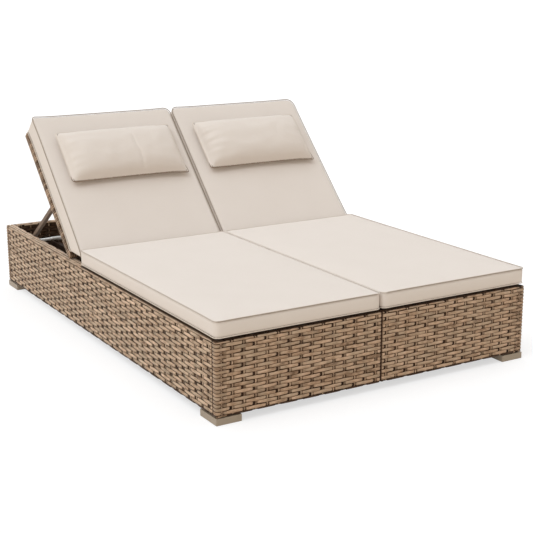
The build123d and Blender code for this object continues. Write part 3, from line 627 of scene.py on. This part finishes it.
# %% [markdown]
# ## Wrapped frames of the two backs
# Each back is a ladder of tubes. A single strand is wound round the outer tubes, turn against turn,
# and a woven field fills the space between them. The winding is a helix on a rounded square: one turn is one
# flat strip. Where a tube ends, the winding goes on as a spiral over its end, which closes it. The backs are
# drawn lying flat, with their hinge axis along x, and then turned up about that axis to their rest angle.

# %% Tubes of a back, lying flat
HINGE_PLACE = (0, 0.250148, 0.301)
BACK_REST_ANGLE = 45
BACK_PLACE = Matrix.Translation(HINGE_PLACE) @ Matrix.Rotation(math.radians(BACK_REST_ANGLE), 4, "X")
BACK_SIDES = (("left", -1), ("right", 1))
BACK_BAND = 0.033
BACK_BAND_RADIUS = 0.007
BAND_PROUD = 0.0028
WINDING_PITCH = 0.0098
WINDING_WIDTH = 0.0094
WINDING_CROWN = 0.0016
BACK_INNER, BACK_OUTER, BACK_LENGTH = 0.003, 0.642, 0.612
HINGE_NOTCHES = (0.062, 0.562)
NOTCH_HALF = 0.0145
AXLE_CLOSURE = 0.0035

half_band = BACK_BAND / 2
notch_edges = [edge for place in HINGE_NOTCHES for edge in (place - NOTCH_HALF, place + NOTCH_HALF)]
low_edges = [BACK_INNER, *notch_edges, BACK_OUTER]

# Each bar: its start, the way it faces, its length and radius, and how far each of its ends is closed.
back_bars = [((x, BACK_LENGTH, 0), (1, 0, 0), BACK_LENGTH - 0.004, BACK_BAND_RADIUS, half_band, 0)
             for x in (BACK_INNER + half_band, BACK_OUTER - half_band)]
back_bars.append(((BACK_INNER + BACK_BAND, BACK_LENGTH - half_band, 0), (0, 1, 0),
                  BACK_OUTER - BACK_INNER - 2 * BACK_BAND, BACK_BAND_RADIUS, 0, 0))
for first, last, *closures in zip(low_edges[::2], low_edges[1::2], (half_band, AXLE_CLOSURE, AXLE_CLOSURE),
                                  (AXLE_CLOSURE, AXLE_CLOSURE, half_band)):
    back_bars.append(((first, 0, 0), (0, 1, 0), last - first, half_band - 0.0002, *closures))


def raised(flat):
    """Turn an array of points of a back up to its rest angle."""
    matrix = np.array(BACK_PLACE)
    return flat @ matrix[:3, :3].T + matrix[:3, 3]


print("tubes of a back:", len(back_bars))


# %% Windings and woven field
def wound(along, across, bar):
    """Points of a strand wound round one bar, where along counts from the winding's first point."""
    start, outward, length, radius, close_start, _ = bar
    ahead = (outward[1], -outward[0], 0)
    lead = along / section_length(BACK_BAND, BACK_BAND, radius) * WINDING_PITCH
    lead = lead - close_start + across * WINDING_WIDTH / 2
    out, up, away = round_section(along, BACK_BAND, BACK_BAND, radius)
    up = up - half_band
    outer = outward[0] > 0 and start[0] > BACK_OUTER / 2
    proud = np.maximum(np.clip(away[:, 1], 0, 1), outer * np.clip(away[:, 0], 0, 1))
    deep = -WINDING_CROWN * across ** 2 - 0.0003 + BAND_PROUD * proud
    folded = np.clip(-lead, 0, half_band) + np.clip(lead - length, 0, half_band)
    shrink = 1 - folded / half_band
    rise = np.where(lead < 0, -1, 1) * np.where(folded > 0, deep, 0)
    deep = np.where(folded > 0, 0, deep)
    out, up = (out + away[:, 0] * deep) * shrink, (up + away[:, 1] * deep) * shrink
    flat = start + np.outer(np.clip(lead, 0, length) + rise, ahead) + np.outer(out, outward)
    flat[:, 2] += up
    # Painted shade between the turns, along the band's edge beside the cushion, and towards the back's lower
    # end.
    lower = 0.55 * ease((0.030 - flat[:, 1]) / 0.012) * (flat[:, 0] < BACK_OUTER - BACK_BAND)
    return flat, 0.5 * np.abs(across) ** 4 + 0.3 * ease((up - 0.013) / 0.004) + lower


def wrapped_back(hand, side, seed):
    shape = bmesh.new()
    firsts = [0]
    for *_, length, radius, close_start, close_end in back_bars:
        around = section_length(BACK_BAND, BACK_BAND, radius)
        turns = math.ceil((length + close_start + close_end) / WINDING_PITCH)
        for turn in range(turns):
            lay_strand(shape, turn * around, (turn + 1) * around, 20, firsts[-1] + turn, across=3)
        firsts.append(firsts[-1] + turns)
    first_field = firsts[-1]
    low, high = BACK_INNER + BACK_BAND - 0.002, BACK_OUTER - BACK_BAND + 0.002
    bottom, top = half_band - 0.002, BACK_LENGTH - BACK_BAND + 0.002
    courses = 2 * round((top - bottom) / COURSE / 2)
    course = (top - bottom) / courses
    pitch = (high - low) / END_STAKES
    first_stake = first_field + courses
    for row in range(first_field, first_stake):
        lay_strand(shape, low, high, END_STAKES * STEPS_PER_STAKE, row, across=4)
    for row in range(first_stake, first_stake + END_STAKES):
        lay_strand(shape, bottom, top, courses * 4, row, across=2)

    def bend(along, across, rows, chance):
        flat, painted_shade = np.zeros((len(along), 3)), np.zeros(len(along))
        for bar, first, after in zip(back_bars, firsts, firsts[1:]):
            here = (rows >= first) & (rows < after)
            flat[here], painted_shade[here] = wound(along[here], across[here], bar)
            # Each turn gets a random share more or less of the painted shade.
            painted_shade[here] += chance.uniform(-0.1, 0.45, rows.max() + 1)[rows[here]]
        weft = (rows >= first_field) & (rows < first_stake)
        strand = rows - first_field
        wave, swell = over_under(along - low - pitch / 2, pitch, np.clip(strand, 0, None), chance)
        height = bottom + (strand + 0.5) * course - across * STRAND_WIDTH / 2 * swell
        deep = WEAVE_DEPTH * 0.7 * wave - STRAND_CROWN * 0.8 * across ** 2
        flat[weft] = np.stack([along, height, 0.0140 - deep], 1)[weft]
        # Painted shade in the pockets of the woven field. Its stakes get a fixed amount of it.
        painted_shade[weft] = (1 - wave[weft]) / 2
        stakes = rows >= first_stake
        stake = rows - first_stake
        stake_x = low + (stake + 0.5) * pitch + across * STAKE_WIDTH / 2
        lift = stake_lift(along - bottom, course, stake)
        flat[stakes] = np.stack([stake_x, along, 0.0152 - 0.0014 * lift], 1)[stakes]
        painted_shade[stakes] = 0.35
        place = raised(flat)
        place[:, 0] *= side
        return place, painted_shade

    finish_strands("wicker_back_frame_" + hand, shape, bend, seed, "backrest_" + hand, wicker,
                   "backrest_weave_" + hand, mirrored=side < 0)


for hand, side in BACK_SIDES:
    wrapped_back(hand, side, 31 + side)

# %% [markdown]
# ## Cushion cloth
# The covers are cream woven cloth: threads a millimetre and a half apart, some thicker than others, and matt.
# Two crossing sets of ripples give the threads, and slow noises give the slubs and the faint unevenness of
# the dye. The piping is a darker cloth, cut on the bias. Where cushions lean on each other its edge looks
# paler. Along a pillow's lower edge, where its seam lies in the fold under the filling, its piping and the
# dark cord of its stitch groove get painted shadow.

# %% Cloth finishes
THREAD = 0.0016
BIAS_THREAD = 0.0012


def cloth_finish(name, colour, darker, patch=None, patch_share=None, thread=BIAS_THREAD, ripple=0.5):
    finish = Finish(name, Roughness=0.92, Specular_IOR_Level=0.2, Sheen_Weight=0.25, Sheen_Roughness=0.5)
    where = finish.place()
    x, y, z = finish.axes(where)
    wander = finish.noise(where, 60, 2.0)
    turns = 2 * math.pi / thread
    warp = finish.maths("SINE", (x + wander * 0.002) * turns)
    weft = finish.maths("SINE", (y + z * 0.8 + wander * 0.002) * turns)
    threads = warp * 0.5 + weft * 0.5
    slub = finish.noise(finish.place((40, 260, 260)), 1.0, 2.0, 0.6)
    dye = finish.noise(where, 9)
    shade = dye * 0.6 + slub * 0.4 + threads * 0.06
    dyed = finish.mix(finish.between(shade, 0.1, 0.9), darker, colour)
    if patch:
        dyed = finish.mix(patch_share(finish, x, y, z), dyed, patch)
    finish.set("Base Color", dyed)
    finish.set("Roughness", 0.86 + slub * 0.1)
    finish.set("Normal", finish.bump(threads * 0.5 + slub * 0.5, ripple, 0.0004))
    return finish.material


def inner_edges(finish, x, y, _):
    """1 along the edges of a seat cushion that lean on another cushion, and half of it on its outer side."""
    leaning = finish.maths("MAXIMUM", finish.between(x * x, 0.0006, 0.0002), finish.between(y, 0.104, 0.116))
    return finish.maths("MAXIMUM", leaning, finish.between(x * x, 0.405, 0.413, 0.0, 0.5))


def seam_fold_shadow(finish, _, __, z):
    """1 along the lower edge of a pillow, where painted shadow darkens its seam in the fold under the
    filling.
    """
    return finish.between(z, 0.602, 0.586)


cover = {"thread": THREAD, "ripple": 0.35}
cream_cloth = cloth_finish("cream_cloth", (0.790, 0.722, 0.662), (0.755, 0.684, 0.622), **cover)
pillow_cloth = cloth_finish("pillow_cloth", (0.780, 0.709, 0.645), (0.745, 0.672, 0.606), **cover)
piping_cloth = cloth_finish("piping_cloth", (0.42, 0.345, 0.275), (0.35, 0.285, 0.225))
seat_piping_cloth = cloth_finish("seat_piping_cloth", (0.42, 0.345, 0.275), (0.35, 0.285, 0.225),
                                 (0.72, 0.65, 0.58), inner_edges)
# Dark cord for the pillows' stitch lines: painted shade of the groove, and painted shadow at the lower edge.
groove_shadow_cloth = cloth_finish("groove_shadow_cloth", (0.31, 0.25, 0.20), (0.25, 0.20, 0.16),
                            (0.170, 0.112, 0.072), seam_fold_shadow)
# Pale piping, with painted shadow along a pillow's lower edge.
pillow_piping_cloth = cloth_finish("pillow_piping_cloth", (0.77, 0.69, 0.61), (0.70, 0.62, 0.54),
                                   (0.250, 0.176, 0.120), seam_fold_shadow)
pale_piping_cloth = cloth_finish("pale_piping_cloth", (0.78, 0.70, 0.61), (0.70, 0.62, 0.53))
print("cloth finishes are mixed")

# %% [markdown]
# ## Sewn pads
# A box cushion is two panels and a boxing strip between them. The shell here is the same: a flat grid,
# extruded once, with rows cut into its walls. The two seams, where panel and wall meet, are pinned, and
# Blender's cloth simulation blows up the cloth between them, as foam fills a tight cover. A smooth cap keeps
# the cloth near its pattern, and it never goes through what it rests on.

# %% A flat shell with two seam rings
PAD_CELL = 0.013
WALL_ROWS = 4


def closed_shell(name, steps, wall_rows=1):
    """Two square sheets at heights 0 and 1 with a wall between them, and each point's place on them."""
    shape = bmesh.new()
    bmesh.ops.create_grid(shape, x_segments=steps[0], y_segments=steps[1], size=1)
    lifted = bmesh.ops.extrude_face_region(shape, geom=shape.faces[:])["geom"]
    top = [item for item in lifted if isinstance(item, bmesh.types.BMVert)]
    bmesh.ops.translate(shape, vec=(0, 0, 1), verts=top)
    if wall_rows > 1:
        upright = [edge for edge in shape.edges if abs(edge.verts[0].co.z - edge.verts[1].co.z) > 0.5]
        bmesh.ops.subdivide_edges(shape, edges=upright, cuts=wall_rows - 1, use_grid_fill=True)
    bmesh.ops.recalc_face_normals(shape, faces=shape.faces[:])
    mesh = mesh_of(shape, name)
    return mesh, *vertex_array(mesh).T


def in_turn(chosen, u, v):
    """The chosen points in the order in which a walk round the middle meets them."""
    found = np.nonzero(chosen)[0]
    return found[np.argsort(np.arctan2(v[found], u[found]))]


def round_corners(x, y, width, length, radius):
    """Bend the corners of a rectangular grid about its middle into quarter circles."""
    a = (np.abs(x) - width / 2 + radius) / radius
    b = (np.abs(y) - length / 2 + radius) / radius
    corner = (a > 0) & (b > 0)
    round_a = a * np.sqrt(np.clip(1 - b * b / 2, 0, 1))
    round_b = b * np.sqrt(np.clip(1 - a * a / 2, 0, 1))
    x = np.where(corner, np.sign(x) * (width / 2 - radius + round_a * radius), x)
    return x, np.where(corner, np.sign(y) * (length / 2 - radius + round_b * radius), y)


def pad_shell(name, width, length, low_radius, high_radii, draw, bulge):
    """Shell of a box pad on a rectangle from (0, 0), with heights from 0 to 1, and its lower and upper seam.

    draw says how far its two sides and its ends are drawn in, and bulge how far the boxing swells out."""
    mesh, u, v, level = closed_shell(name, (round(width / PAD_CELL), round(length / PAD_CELL)), WALL_ROWS)
    radius = np.where(v < 0, low_radius, np.where(u < 0, high_radii[0], high_radii[1]))
    x, y = round_corners(u * width / 2, v * length / 2, width, length, radius)
    swell = 4 * bulge * level * (1 - level)
    drawn = np.where(u < 0, draw[0], draw[1])
    x = x * (1 - (drawn - swell) / (width / 2) * (1 - v ** 8 * (1 - swell / 0.01)))
    y = y * (1 - (draw[2] - swell) / (length / 2) * (1 - u ** 8 * (1 - swell / 0.01)))
    border = np.maximum(np.abs(u), np.abs(v)) > 0.9999
    rings = [in_turn(border & (np.abs(level - height) < 1e-4), u, v) for height in (0, 1)]
    return mesh, np.stack([x + width / 2, y + length / 2, level], 1), u, v, rings


# %% Blowing a shell up
def blow_up(mesh, pins, pressure, cap, stiffness=15.0, frames=20):
    """Cloth simulation on a closed shell. Returns the new places, moved by no more than the cap."""
    before = vertex_array(mesh)
    piece = in_scene("blown_cloth", mesh)
    piece.vertex_groups.new(name="seams").add([int(index) for index in pins], 1.0, "REPLACE")
    cloth = piece.modifiers.new("cloth", "CLOTH")
    for name, value in {"quality": 6, "mass": 0.3, "tension_stiffness": stiffness,
                        "compression_stiffness": stiffness, "shear_stiffness": stiffness / 3,
                        "bending_stiffness": 0.6, "use_pressure": True, "uniform_pressure_force": pressure,
                        "vertex_group_mass": "seams"}.items():
        setattr(cloth.settings, name, value)
    cloth.settings.effector_weights.gravity = 0.0
    cloth.point_cache.frame_start = 1
    cloth.point_cache.frame_end = frames
    scene = bpy.context.scene
    for frame_number in range(1, frames + 1):
        scene.frame_set(frame_number)
    deps = bpy.context.evaluated_depsgraph_get()
    after = vertex_array(piece.evaluated_get(deps).to_mesh())
    piece.evaluated_get(deps).to_mesh_clear()
    scene.frame_set(1)
    bpy.data.objects.remove(piece)
    move = after - before
    size = np.linalg.norm(move, axis=1, keepdims=True) + 1e-9
    return before + move / size * cap * np.tanh(size / cap)


def place_pad(mesh, places, side):
    """Put the points of a right-hand pad on its own side."""
    places[:, 0] *= side
    set_vertices(mesh, places)
    if side < 0:
        mesh.flip_normals()


def finish_pad(kind, hand, mesh, material, body, slot_name, fill):
    piece = carried(kind + "_" + hand, mesh, material, body)
    soften = piece.modifiers.new("soften", "SUBSURF")
    soften.levels = soften.render_levels = 1
    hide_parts(kind + "_cover_" + hand, kind + "_core_" + hand)


# %% Piping along a seam
PIPING_RADIUS = 0.0018


def piping(name, places, material, body, slot_name, radius=PIPING_RADIUS):
    """Round cord cover along a closed ring of points."""
    curve = bpy.data.curves.new(name, "CURVE")
    curve.dimensions = "3D"
    curve.bevel_depth = radius
    curve.bevel_resolution = 3
    line = curve.splines.new("POLY")
    line.points.add(len(places) - 1)
    line.points.foreach_set("co", np.hstack([places, np.ones((len(places), 1))]).ravel())
    line.use_cyclic_u = True
    holder = bpy.data.objects.new(name + "_curve", curve)
    mesh = bpy.data.meshes.new_from_object(holder)
    bpy.data.objects.remove(holder)
    mesh.name = name
    carried(name, mesh, material, body)


def finish_box_pad(kind, hand, side, mesh, places, rings, body, *seams):
    """Pipe and finish a box pad. seams names its upper and then its lower seam, each with its cloth."""
    place_pad(mesh, places, side)
    for ring, (seam, material) in zip(rings[::-1], seams):
        piping(f"{kind}_piping_{seam}_{hand}", places[ring], material, body, "cushion_fabric")
    finish_pad(kind + "_cushion", hand, mesh, cream_cloth, body, "cushion_fabric", 0.85)

# %% [markdown]
# ## Seat cushions
# Each seat cushion is a thin box pad over one half of the deck. Dark piping runs round its top seam, and
# pale piping round the lower one, just above the shadow gap to the woven rim.

# %% Two seat cushions
MIDDLE_GAP = 0.0025
SEAT_LOW = (MIDDLE_GAP, -0.998, 0.2923)
SEAT_WIDTH, SEAT_LENGTH, SEAT_EDGE = 0.6455, 1.12015, 0.0567
SEAT_OUTER_LIMIT = 0.649
SEAT_RADIUS = 0.022
PAD_PRESSURE = 4.0


def seat_cushion(hand, side):
    mesh, start, u, v, rings = pad_shell("seat_cushion_" + hand, SEAT_WIDTH, SEAT_LENGTH, SEAT_RADIUS,
                                         (SEAT_RADIUS, SEAT_RADIUS), (0.0006, 0.003, 0.003), 0.003)
    level = start[:, 2].copy()
    crown = 0.002 * (1 - u * u) * (1 - v * v)
    start[:, 2] = 0.0012 + level * (SEAT_EDGE - 0.002) + np.where(level > 0.99, crown, 0)
    set_vertices(mesh, start + SEAT_LOW)
    places = blow_up(mesh, np.concatenate(rings), PAD_PRESSURE, 0.0085)
    lowest = np.array(SEAT_LOW) + (-0.0015, -0.004, 0.0002)
    places = np.clip(places, lowest, (SEAT_OUTER_LIMIT, SEAT_LOW[1] + SEAT_LENGTH + 0.001, math.inf))
    finish_box_pad("seat", hand, side, mesh, places, rings, "base",
                   ("top", seat_piping_cloth), ("foot", pale_piping_cloth))


for hand, side in BACK_SIDES:
    seat_cushion(hand, side)

# %% [markdown]
# ## Back cushions
# A back cushion is thicker, and its lower end stands behind the seat cushion. Its boxing is cut level
# there, so the pad stands square when the back is up. It is drawn lying along its back, with the lower
# end slanted, and turned up with the back.

# %% Two back cushions
BACK_PAD_LOW = 0.0200
BACK_PAD_EDGE = 0.091
BACK_PAD_WIDTH = 0.6395
BACK_PAD_TOP = 0.622
BACK_PAD_FOOT = 0.130
BACK_PAD_CROWN = 0.008
BACK_PAD_RADII = {"left": (0.036, 0.020), "right": (0.034, 0.042)}
BACK_PAD_SIDES = (0.0012, 0.6465)
NOSE_Y, NOSE_Z = 0.126, 0.3132


def back_cushion(hand, side):
    mesh, start, u, v, rings = pad_shell("back_cushion_" + hand, BACK_PAD_WIDTH, BACK_PAD_TOP, 0.014,
                                         BACK_PAD_RADII[hand], (0.0035, 0.005, 0.005), 0.005)
    level = start[:, 2].copy()
    slant = -0.0005 - BACK_PAD_EDGE * level
    crown = 0.003 * (1 - u * u) * (1 - v * v)
    start[:, 0] += MIDDLE_GAP
    start[:, 1] = slant + start[:, 1] / BACK_PAD_TOP * (BACK_PAD_TOP - slant)
    start[:, 2] = BACK_PAD_LOW + level * (BACK_PAD_EDGE - 0.0042) + np.where(level > 0.99, crown, 0)
    set_vertices(mesh, start)
    places = blow_up(mesh, np.concatenate(rings), PAD_PRESSURE, 0.010)
    half = BACK_PAD_WIDTH / 2
    sideways = 1 - ((places[:, 0] - MIDDLE_GAP - half) / half) ** 2
    middle = (BACK_PAD_TOP - BACK_PAD_FOOT) / 2
    lengthways = 1 - ((places[:, 1] - middle) / (BACK_PAD_TOP - middle)) ** 2
    limit = BACK_PAD_LOW + BACK_PAD_EDGE - 0.0027 + BACK_PAD_CROWN * np.clip(sideways * lengthways, 0, 1)
    places[:, 2] = np.clip(places[:, 2], BACK_PAD_LOW, limit)
    places[:, 0] = np.clip(places[:, 0], *BACK_PAD_SIDES)
    places = np.maximum(raised(places), (-math.inf, NOSE_Y, NOSE_Z))
    finish_box_pad("back", hand, side, mesh, places, rings, "backrest_" + hand,
                   ("front", piping_cloth), ("rear", pale_piping_cloth))


for hand, side in BACK_SIDES:
    back_cushion(hand, side)

# %% [markdown]
# ## Head pillows
# A pillow is two pieces of cloth sewn together round their edge and stuffed through a gap in the seam. A
# stitch line a little inside the edge leaves a flat flange all round. Edge and stitch line are pinned here,
# and the simulation blows up the cloth between them. Small gathers along the seams and one long crease are
# laid over it afterwards, as stuffing pushed in by hand leaves them. Then the pillow is laid on its cushion.
# A thin dark cord along the stitch line is painted shade of its groove.

# %% Two pillows
PILLOW_WIDTH, PILLOW_HEIGHT = 0.522, 0.252
PILLOW_MIDDLE = {"left": (0.3160, 0.383, 0.1335), "right": (0.3205, 0.383, 0.1335)}
PILLOW_CELL = 0.009
PILLOW_REAR = 0.1182
PILLOW_FRONT_DEPTH, PILLOW_REAR_DEPTH = 0.0600, 0.0145
FLANGE = 0.0072
FOOT_FLANGE = 0.0030
GROOVE_SHADOW_RADIUS = 0.0014


def pillow(hand, side, seed, crease_at, pull):
    """crease_at is where its crease crosses the middle, and pull how deep its outer end is gathered."""
    steps = (round(PILLOW_WIDTH / PILLOW_CELL), round(PILLOW_HEIGHT / PILLOW_CELL))
    mesh, u, v, level = closed_shell("pillow_" + hand, steps)
    rings = [np.rint((1 - np.abs(share)) * count / 2) for share, count in ((u, steps[0]), (v, steps[1]))]
    ring = np.minimum(rings[0], rings[1])
    edge_u = 1 - 2 * FLANGE / PILLOW_WIDTH
    edge_v = 1 - 2 * np.where(v < 0, FOOT_FLANGE, FLANGE) / PILLOW_HEIGHT
    u = np.where(rings[0] == 0, u, u * edge_u / (1 - 2 / steps[0]))
    v = np.where(rings[1] == 0, v, v * edge_v / (1 - 2 / steps[1]))
    front = np.where(level > 0.5, 1, -1)
    flat = np.zeros_like(u)
    rough, ripple, pucker = (np.array([noise.noise(Vector(point)) for point in zip(*axes)]) for axes in (
        (u * 5 + seed, v * 3, flat + seed), (u * 1.4, v * 5 + seed, flat), (u * 17, v * 0.8 + seed, flat)))
    across = np.clip(np.abs(u) / edge_u, 0, 1)
    along = np.clip(np.abs(v) / edge_v, 0, 1)
    inner = np.sqrt((1 - across ** 5) * (1 - along ** 2.6))
    ends, foot = np.exp(-(1 + u * side) / 0.16), np.exp(-(1 + v) / 0.16)
    gathers = 0.011 * ripple + pull * np.sin(22 * v + 4 * ripple)
    folds = gathers * ends + 0.006 * pucker * foot + 0.003 * rough
    crease = -0.0062 * np.exp(-((u - crease_at - 0.05 * v) / 0.018) ** 2) * np.clip(0.9 - v, 0, 1)
    ear = ease((u * side - v - 1.70) / 0.28)
    radius = np.where((u * side > 0) & (v < 0), 0.004, 0.015)
    x, y = round_corners(u * PILLOW_WIDTH / 2, v * PILLOW_HEIGHT / 2, PILLOW_WIDTH, PILLOW_HEIGHT, radius)
    x = x * (1 - 0.007 * (1 - v * v)) + 0.006 * side * ear
    y = y * (1 - 0.018 * (1 - u * u)) - 0.004 * ear + 0.0012 * pucker
    depth = np.where(front > 0, PILLOW_FRONT_DEPTH, PILLOW_REAR_DEPTH)
    thick = depth * inner + np.where(ring == 0, 0.0015, 0.0018)
    set_vertices(mesh, np.stack([x, y, front * thick - 0.004 * ear], 1))
    places = blow_up(mesh, np.nonzero(ring <= 1)[0], 1.6, 0.006, stiffness=10.0, frames=16)
    places[:, 2] += (folds + crease) * np.clip(inner * 2.2, 0, 1) * (front > 0)
    places = places + PILLOW_MIDDLE[hand]
    places[:, 2] = np.maximum(places[:, 2], PILLOW_REAR)
    places = raised(places)
    place_pad(mesh, places, side)
    front_edge, rear_edge, stitches = (places[in_turn((ring == number) & (front == sheet), u, v)]
                                       for number, sheet in ((0, 1), (0, -1), (1, 1)))
    on_back = "backrest_" + hand, "pillow_fabric"
    piping("pillow_piping_" + hand, (front_edge + rear_edge) / 2, pillow_piping_cloth, *on_back)
    # A thin dark cord along the stitch line: painted shade of the groove there.
    piping("pillow_stitch_" + hand, stitches, groove_shadow_cloth, *on_back, GROOVE_SHADOW_RADIUS)
    finish_pad("pillow", hand, mesh, pillow_cloth, *on_back, 0.7)


pillow("left", -1, 51, -0.18, 0.0020)
pillow("right", 1, 52, 0.9, 0.0050)

# %% [markdown]
# ## Finishes of the metal, plastic and rubber parts
# What stays bare keeps its CAD shape and gets its real surface: brown powder coat on the hidden tubes, a
# satin coat on feet and stays, bright steel on the hinge brackets, zinc on the screws and a pale coat on the
# crossbars of the stays.

# %% Hard finishes
GRAIN = (900, 900, 900)


def coat_finish(name, colour, darker, roughness, metallic=0.0, grain=GRAIN, gloss=0.5):
    finish = Finish(name, Roughness=roughness, Metallic=metallic, Specular_IOR_Level=gloss)
    cloud = finish.noise(finish.place(), 14, 3.0, 0.55)
    fine = finish.noise(finish.place(grain), 1.0, 2.0, 0.6)
    finish.set("Base Color", finish.mix(finish.between(cloud * 0.7 + fine * 0.3, 0.35, 0.65), darker, colour))
    finish.set("Roughness", roughness - 0.06 + cloud * 0.12)
    finish.set("Normal", finish.bump(fine, 0.15, 0.0002))
    return finish.material


hard_finishes = {
    "frame_metal": ("brown_powder_coat", (0.030, 0.015, 0.008), (0.020, 0.010, 0.005), 0.80, 0, GRAIN, 0.15),
    "stay_metal": ("stay_coat", (0.205, 0.142, 0.100), (0.160, 0.110, 0.076), 0.60, 0, GRAIN, 0.25),
    "foot_metal": ("foot_coat", (0.370, 0.298, 0.220), (0.330, 0.264, 0.192), 0.40, 0.2, (40, 40, 900)),
    "bright_steel": ("bright_steel", (0.78, 0.77, 0.75), (0.66, 0.65, 0.63), 0.30, 0.85, (30, 700, 700)),
    "zinc_fastener": ("zinc_plate", (0.62, 0.62, 0.60), (0.50, 0.50, 0.49), 0.35, 0.9),
    "sleeve_plastic": ("white_sleeve", (0.80, 0.79, 0.76), (0.74, 0.73, 0.70), 0.40),
    "glide_rubber": ("glide_rubber", (0.030, 0.029, 0.028), (0.022, 0.021, 0.020), 0.75),
}
hard_finishes = {slot_name: coat_finish(*values) for slot_name, values in hard_finishes.items()}
strip_cloth = cloth_finish("strip_cloth", (0.72, 0.66, 0.59), (0.62, 0.56, 0.49), ripple=0.6)
hard_finishes["strip_fabric"] = strip_cloth
bar_coat = coat_finish("pale_bar_coat", (0.93, 0.92, 0.90), (0.88, 0.87, 0.85), 0.35)
dressed = 0
for row in frame["record"]["subparts"]:
    node = frame["nodes"][row["node"]]
    material = hard_finishes.get(row["material_slot"])
    if row["node"].startswith("stay_crossbar"):
        material = bar_coat
    if material:
        node.data.materials.clear()
        node.data.materials.append(material)
        dressed += 1
print("nodes that keep their CAD shape:", dressed)
